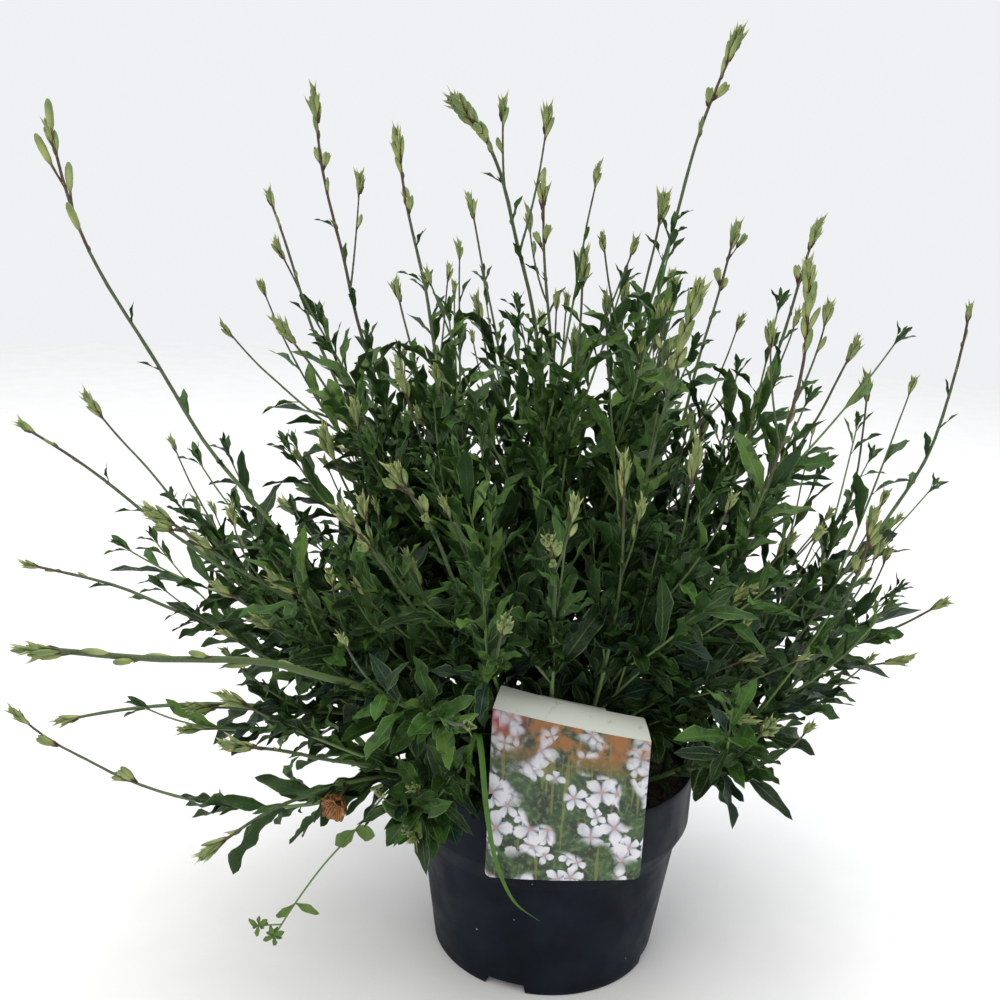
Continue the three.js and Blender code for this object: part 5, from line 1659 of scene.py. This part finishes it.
class GAURA_OT_leafy_stems(bpy.types.Operator):
    """Grow the leafy stems with their forks and sprays"""

    bl_idname = "gaura.leafy_stems"
    bl_label = "Leafy stems"

    def execute(self, context):
        inputs = Gaura.inputs(context.scene.gaura_plant)
        for owner, family in enumerate(Gaura.families):
            guide = Guide()
            main, *others = family
            foot = main.points[0] + (STEM_FOOT - STEM_RISE) * UP
            guide.line([foot, main.points[0]], [main.radius(0)] * 2, [0.1] * 2)
            add_stem(guide, main, 0, main.leafy, lambda s: 0.3 * s)
            add_leaves(guide, main)
            if main.leafy == STEPS:
                add_tuft(guide, main, 4)
            for shoot in others:
                draw = chance(shoot.index + 1, 7, 8)
                add_stem(guide, shoot, 0, STEPS, lambda s: 0.1 + 0.85 * s ** 4)
                add_leaves(guide, shoot)
                add_tuft(guide, shoot, 4 + int(4 * draw), 0.75 + 0.4 * draw)
                if shoot.index == TRAILING:
                    for k, back in enumerate(TRAILING_BUDS):
                        add_spikelet(guide, shoot, back, 2.4 * k, 1.2, 0.1)
            for shoot in fine_shoots(family):
                add_leaves(guide, shoot, False)
                if shoot.leafy < STEPS:
                    add_stem(guide, shoot, 0, STEPS, lambda s: 0.1 + 0.85 * s ** 3)
                    add_tuft(guide, shoot, 4 if shoot.build is RISER else 3, 0.7)
                else:
                    add_stem(guide, shoot, 0, STEPS, lambda s: 0.2 * s)
                    add_young_tip(guide, shoot)
            if owner == TWIG["stem"]:
                guide.line(bloom_twig().points[::6], [0.9] * 5, [0.8] * 5)
            number = f"{owner + 1:02d}"
            made = grown_piece(f"gaura_stem_{number}", guide, Gaura.tree, inputs)
            finish_piece(made, "leaf", f"leafy_stem_{number}")
        return {"FINISHED"}


class GAURA_OT_flower_spikes(bpy.types.Operator):
    """Grow the spikes of buds"""

    bl_idname = "gaura.flower_spikes"
    bl_label = "Flower spikes"

    def execute(self, context):
        inputs = Gaura.inputs(context.scene.gaura_plant)
        for owner, (main, *_) in enumerate(Gaura.families):
            if main.leafy == STEPS:
                continue
            guide = Guide()
            if owner in FLUSHED:
                add_stem(guide, main, main.leafy, STEPS, lambda s: 0.5 + 0.4 * s)
            elif owner in PRESSED:
                add_stem(guide, main, main.leafy, STEPS, lambda s: 0.3 * s)
            else:
                add_stem(guide, main, main.leafy, STEPS, lambda s: 0.3 * s + 0.75 * s ** 6)
            add_spike(guide, main)
            number = f"{owner + 1:02d}"
            made = grown_piece(f"bud_spike_{number}", guide, Gaura.tree, inputs)
            finish_piece(made, "bud", f"flower_spike_{number}")
        return {"FINISHED"}


class GAURA_OT_stage(bpy.types.Operator):
    """Set the pale floor, the soft light and the camera"""

    bl_idname = "gaura.stage"
    bl_label = "Stage"

    def execute(self, context):
        look = context.scene.gaura_stage
        floor_points = circle(FLOOR_RADIUS / MM, 0, FLOOR_SIDES)
        floor = piece("floor", mesh_of("floor", floor_points, [list(range(FLOOR_SIDES))]))
        made, tree = material("pale_floor", Roughness=0.8)
        patch = put(tree, "RANGE", grain(tree, 60, 3), 0.3, 0.7)
        floor.data.materials.append(surface(made, put(tree, "MIX", patch, look.floor, linear("f1f1ef"))))

        world = bpy.data.worlds.new("studio")
        world.use_nodes = True
        sky = world.node_tree.nodes["Background"]
        sky.inputs["Color"].default_value = linear("fbfcff")
        sky.inputs["Strength"].default_value = look.light
        context.scene.world = world
        for name, place, size, power, colour in (
            ("key", (-0.9, -1.2, 2.0), 1.6, look.key, "fffaf2"),
            ("top", (0.3, 0.4, 2.2), 2.0, look.key * 1.3, "f8fafd"),
        ):
            light = bpy.data.lights.new(name, "AREA")
            light.energy, light.size, light.color = power, size, linear(colour)[:3]
            lamp = bpy.data.objects.new(name, light)
            context.scene.collection.objects.link(lamp)
            lamp.location = place
            lamp.rotation_mode = "QUATERNION"
            lamp.rotation_quaternion = (Vector((0, 0, 0.3)) - Vector(place)).to_track_quat("-Z", "Y")

        lens = bpy.data.cameras.new("camera")
        lens.lens = CAMERA_LENS
        camera = bpy.data.objects.new("camera", lens)
        context.scene.collection.objects.link(camera)
        upright = Matrix.Rotation(math.radians(90 + CAMERA_PITCH), 4, "X")
        camera.matrix_world = Matrix.Translation(CAMERA_PLACE) @ upright @ Matrix.Rotation(
            math.radians(CAMERA_ROLL), 4, "Z")
        context.scene.camera = camera
        context.scene.view_settings.view_transform = "Standard"
        return {"FINISHED"}


OPERATORS = (GAURA_OT_stage, GAURA_OT_pot, GAURA_OT_soil, GAURA_OT_label, GAURA_OT_leafy_stems,
             GAURA_OT_flower_spikes, GAURA_OT_grass, GAURA_OT_weed, GAURA_OT_bloom)


class GAURA_PT_panel(bpy.types.Panel):
    """Everything that makes the potted gaura"""

    bl_label = "Potted gaura"
    bl_idname = "GAURA_PT_panel"
    bl_space_type = "VIEW_3D"
    bl_region_type = "UI"
    bl_category = "Gaura"

    def draw(self, context):
        for operator in OPERATORS:
            self.layout.operator(operator.bl_idname)
        for name in GROUPS:
            settings = getattr(context.scene, name)
            box = self.layout.box()
            for field in settings.__annotations__:
                box.prop(settings, field)


GROUPS = {"gaura_pot": GAURA_PG_pot, "gaura_plant": GAURA_PG_plant, "gaura_label": GAURA_PG_label,
          "gaura_stage": GAURA_PG_stage}


def register():
    for made in (*GROUPS.values(), *OPERATORS, GAURA_PT_panel):
        bpy.utils.register_class(made)
    for name, group in GROUPS.items():
        setattr(bpy.types.Scene, name, bpy.props.PointerProperty(type=group))


def unregister():
    for name in GROUPS:
        delattr(bpy.types.Scene, name)
    for made in (GAURA_PT_panel, *OPERATORS[::-1], *GROUPS.values()):
        bpy.utils.unregister_class(made)


def main():
    register()
    for operator in OPERATORS:
        group, name = operator.bl_idname.split(".")
        getattr(getattr(bpy.ops, group), name)()
    for shape in Gaura.shapes.objects:
        remove(shape)
    bpy.data.collections.remove(Gaura.shapes)
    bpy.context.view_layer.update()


if __name__ == "__main__":
    main()
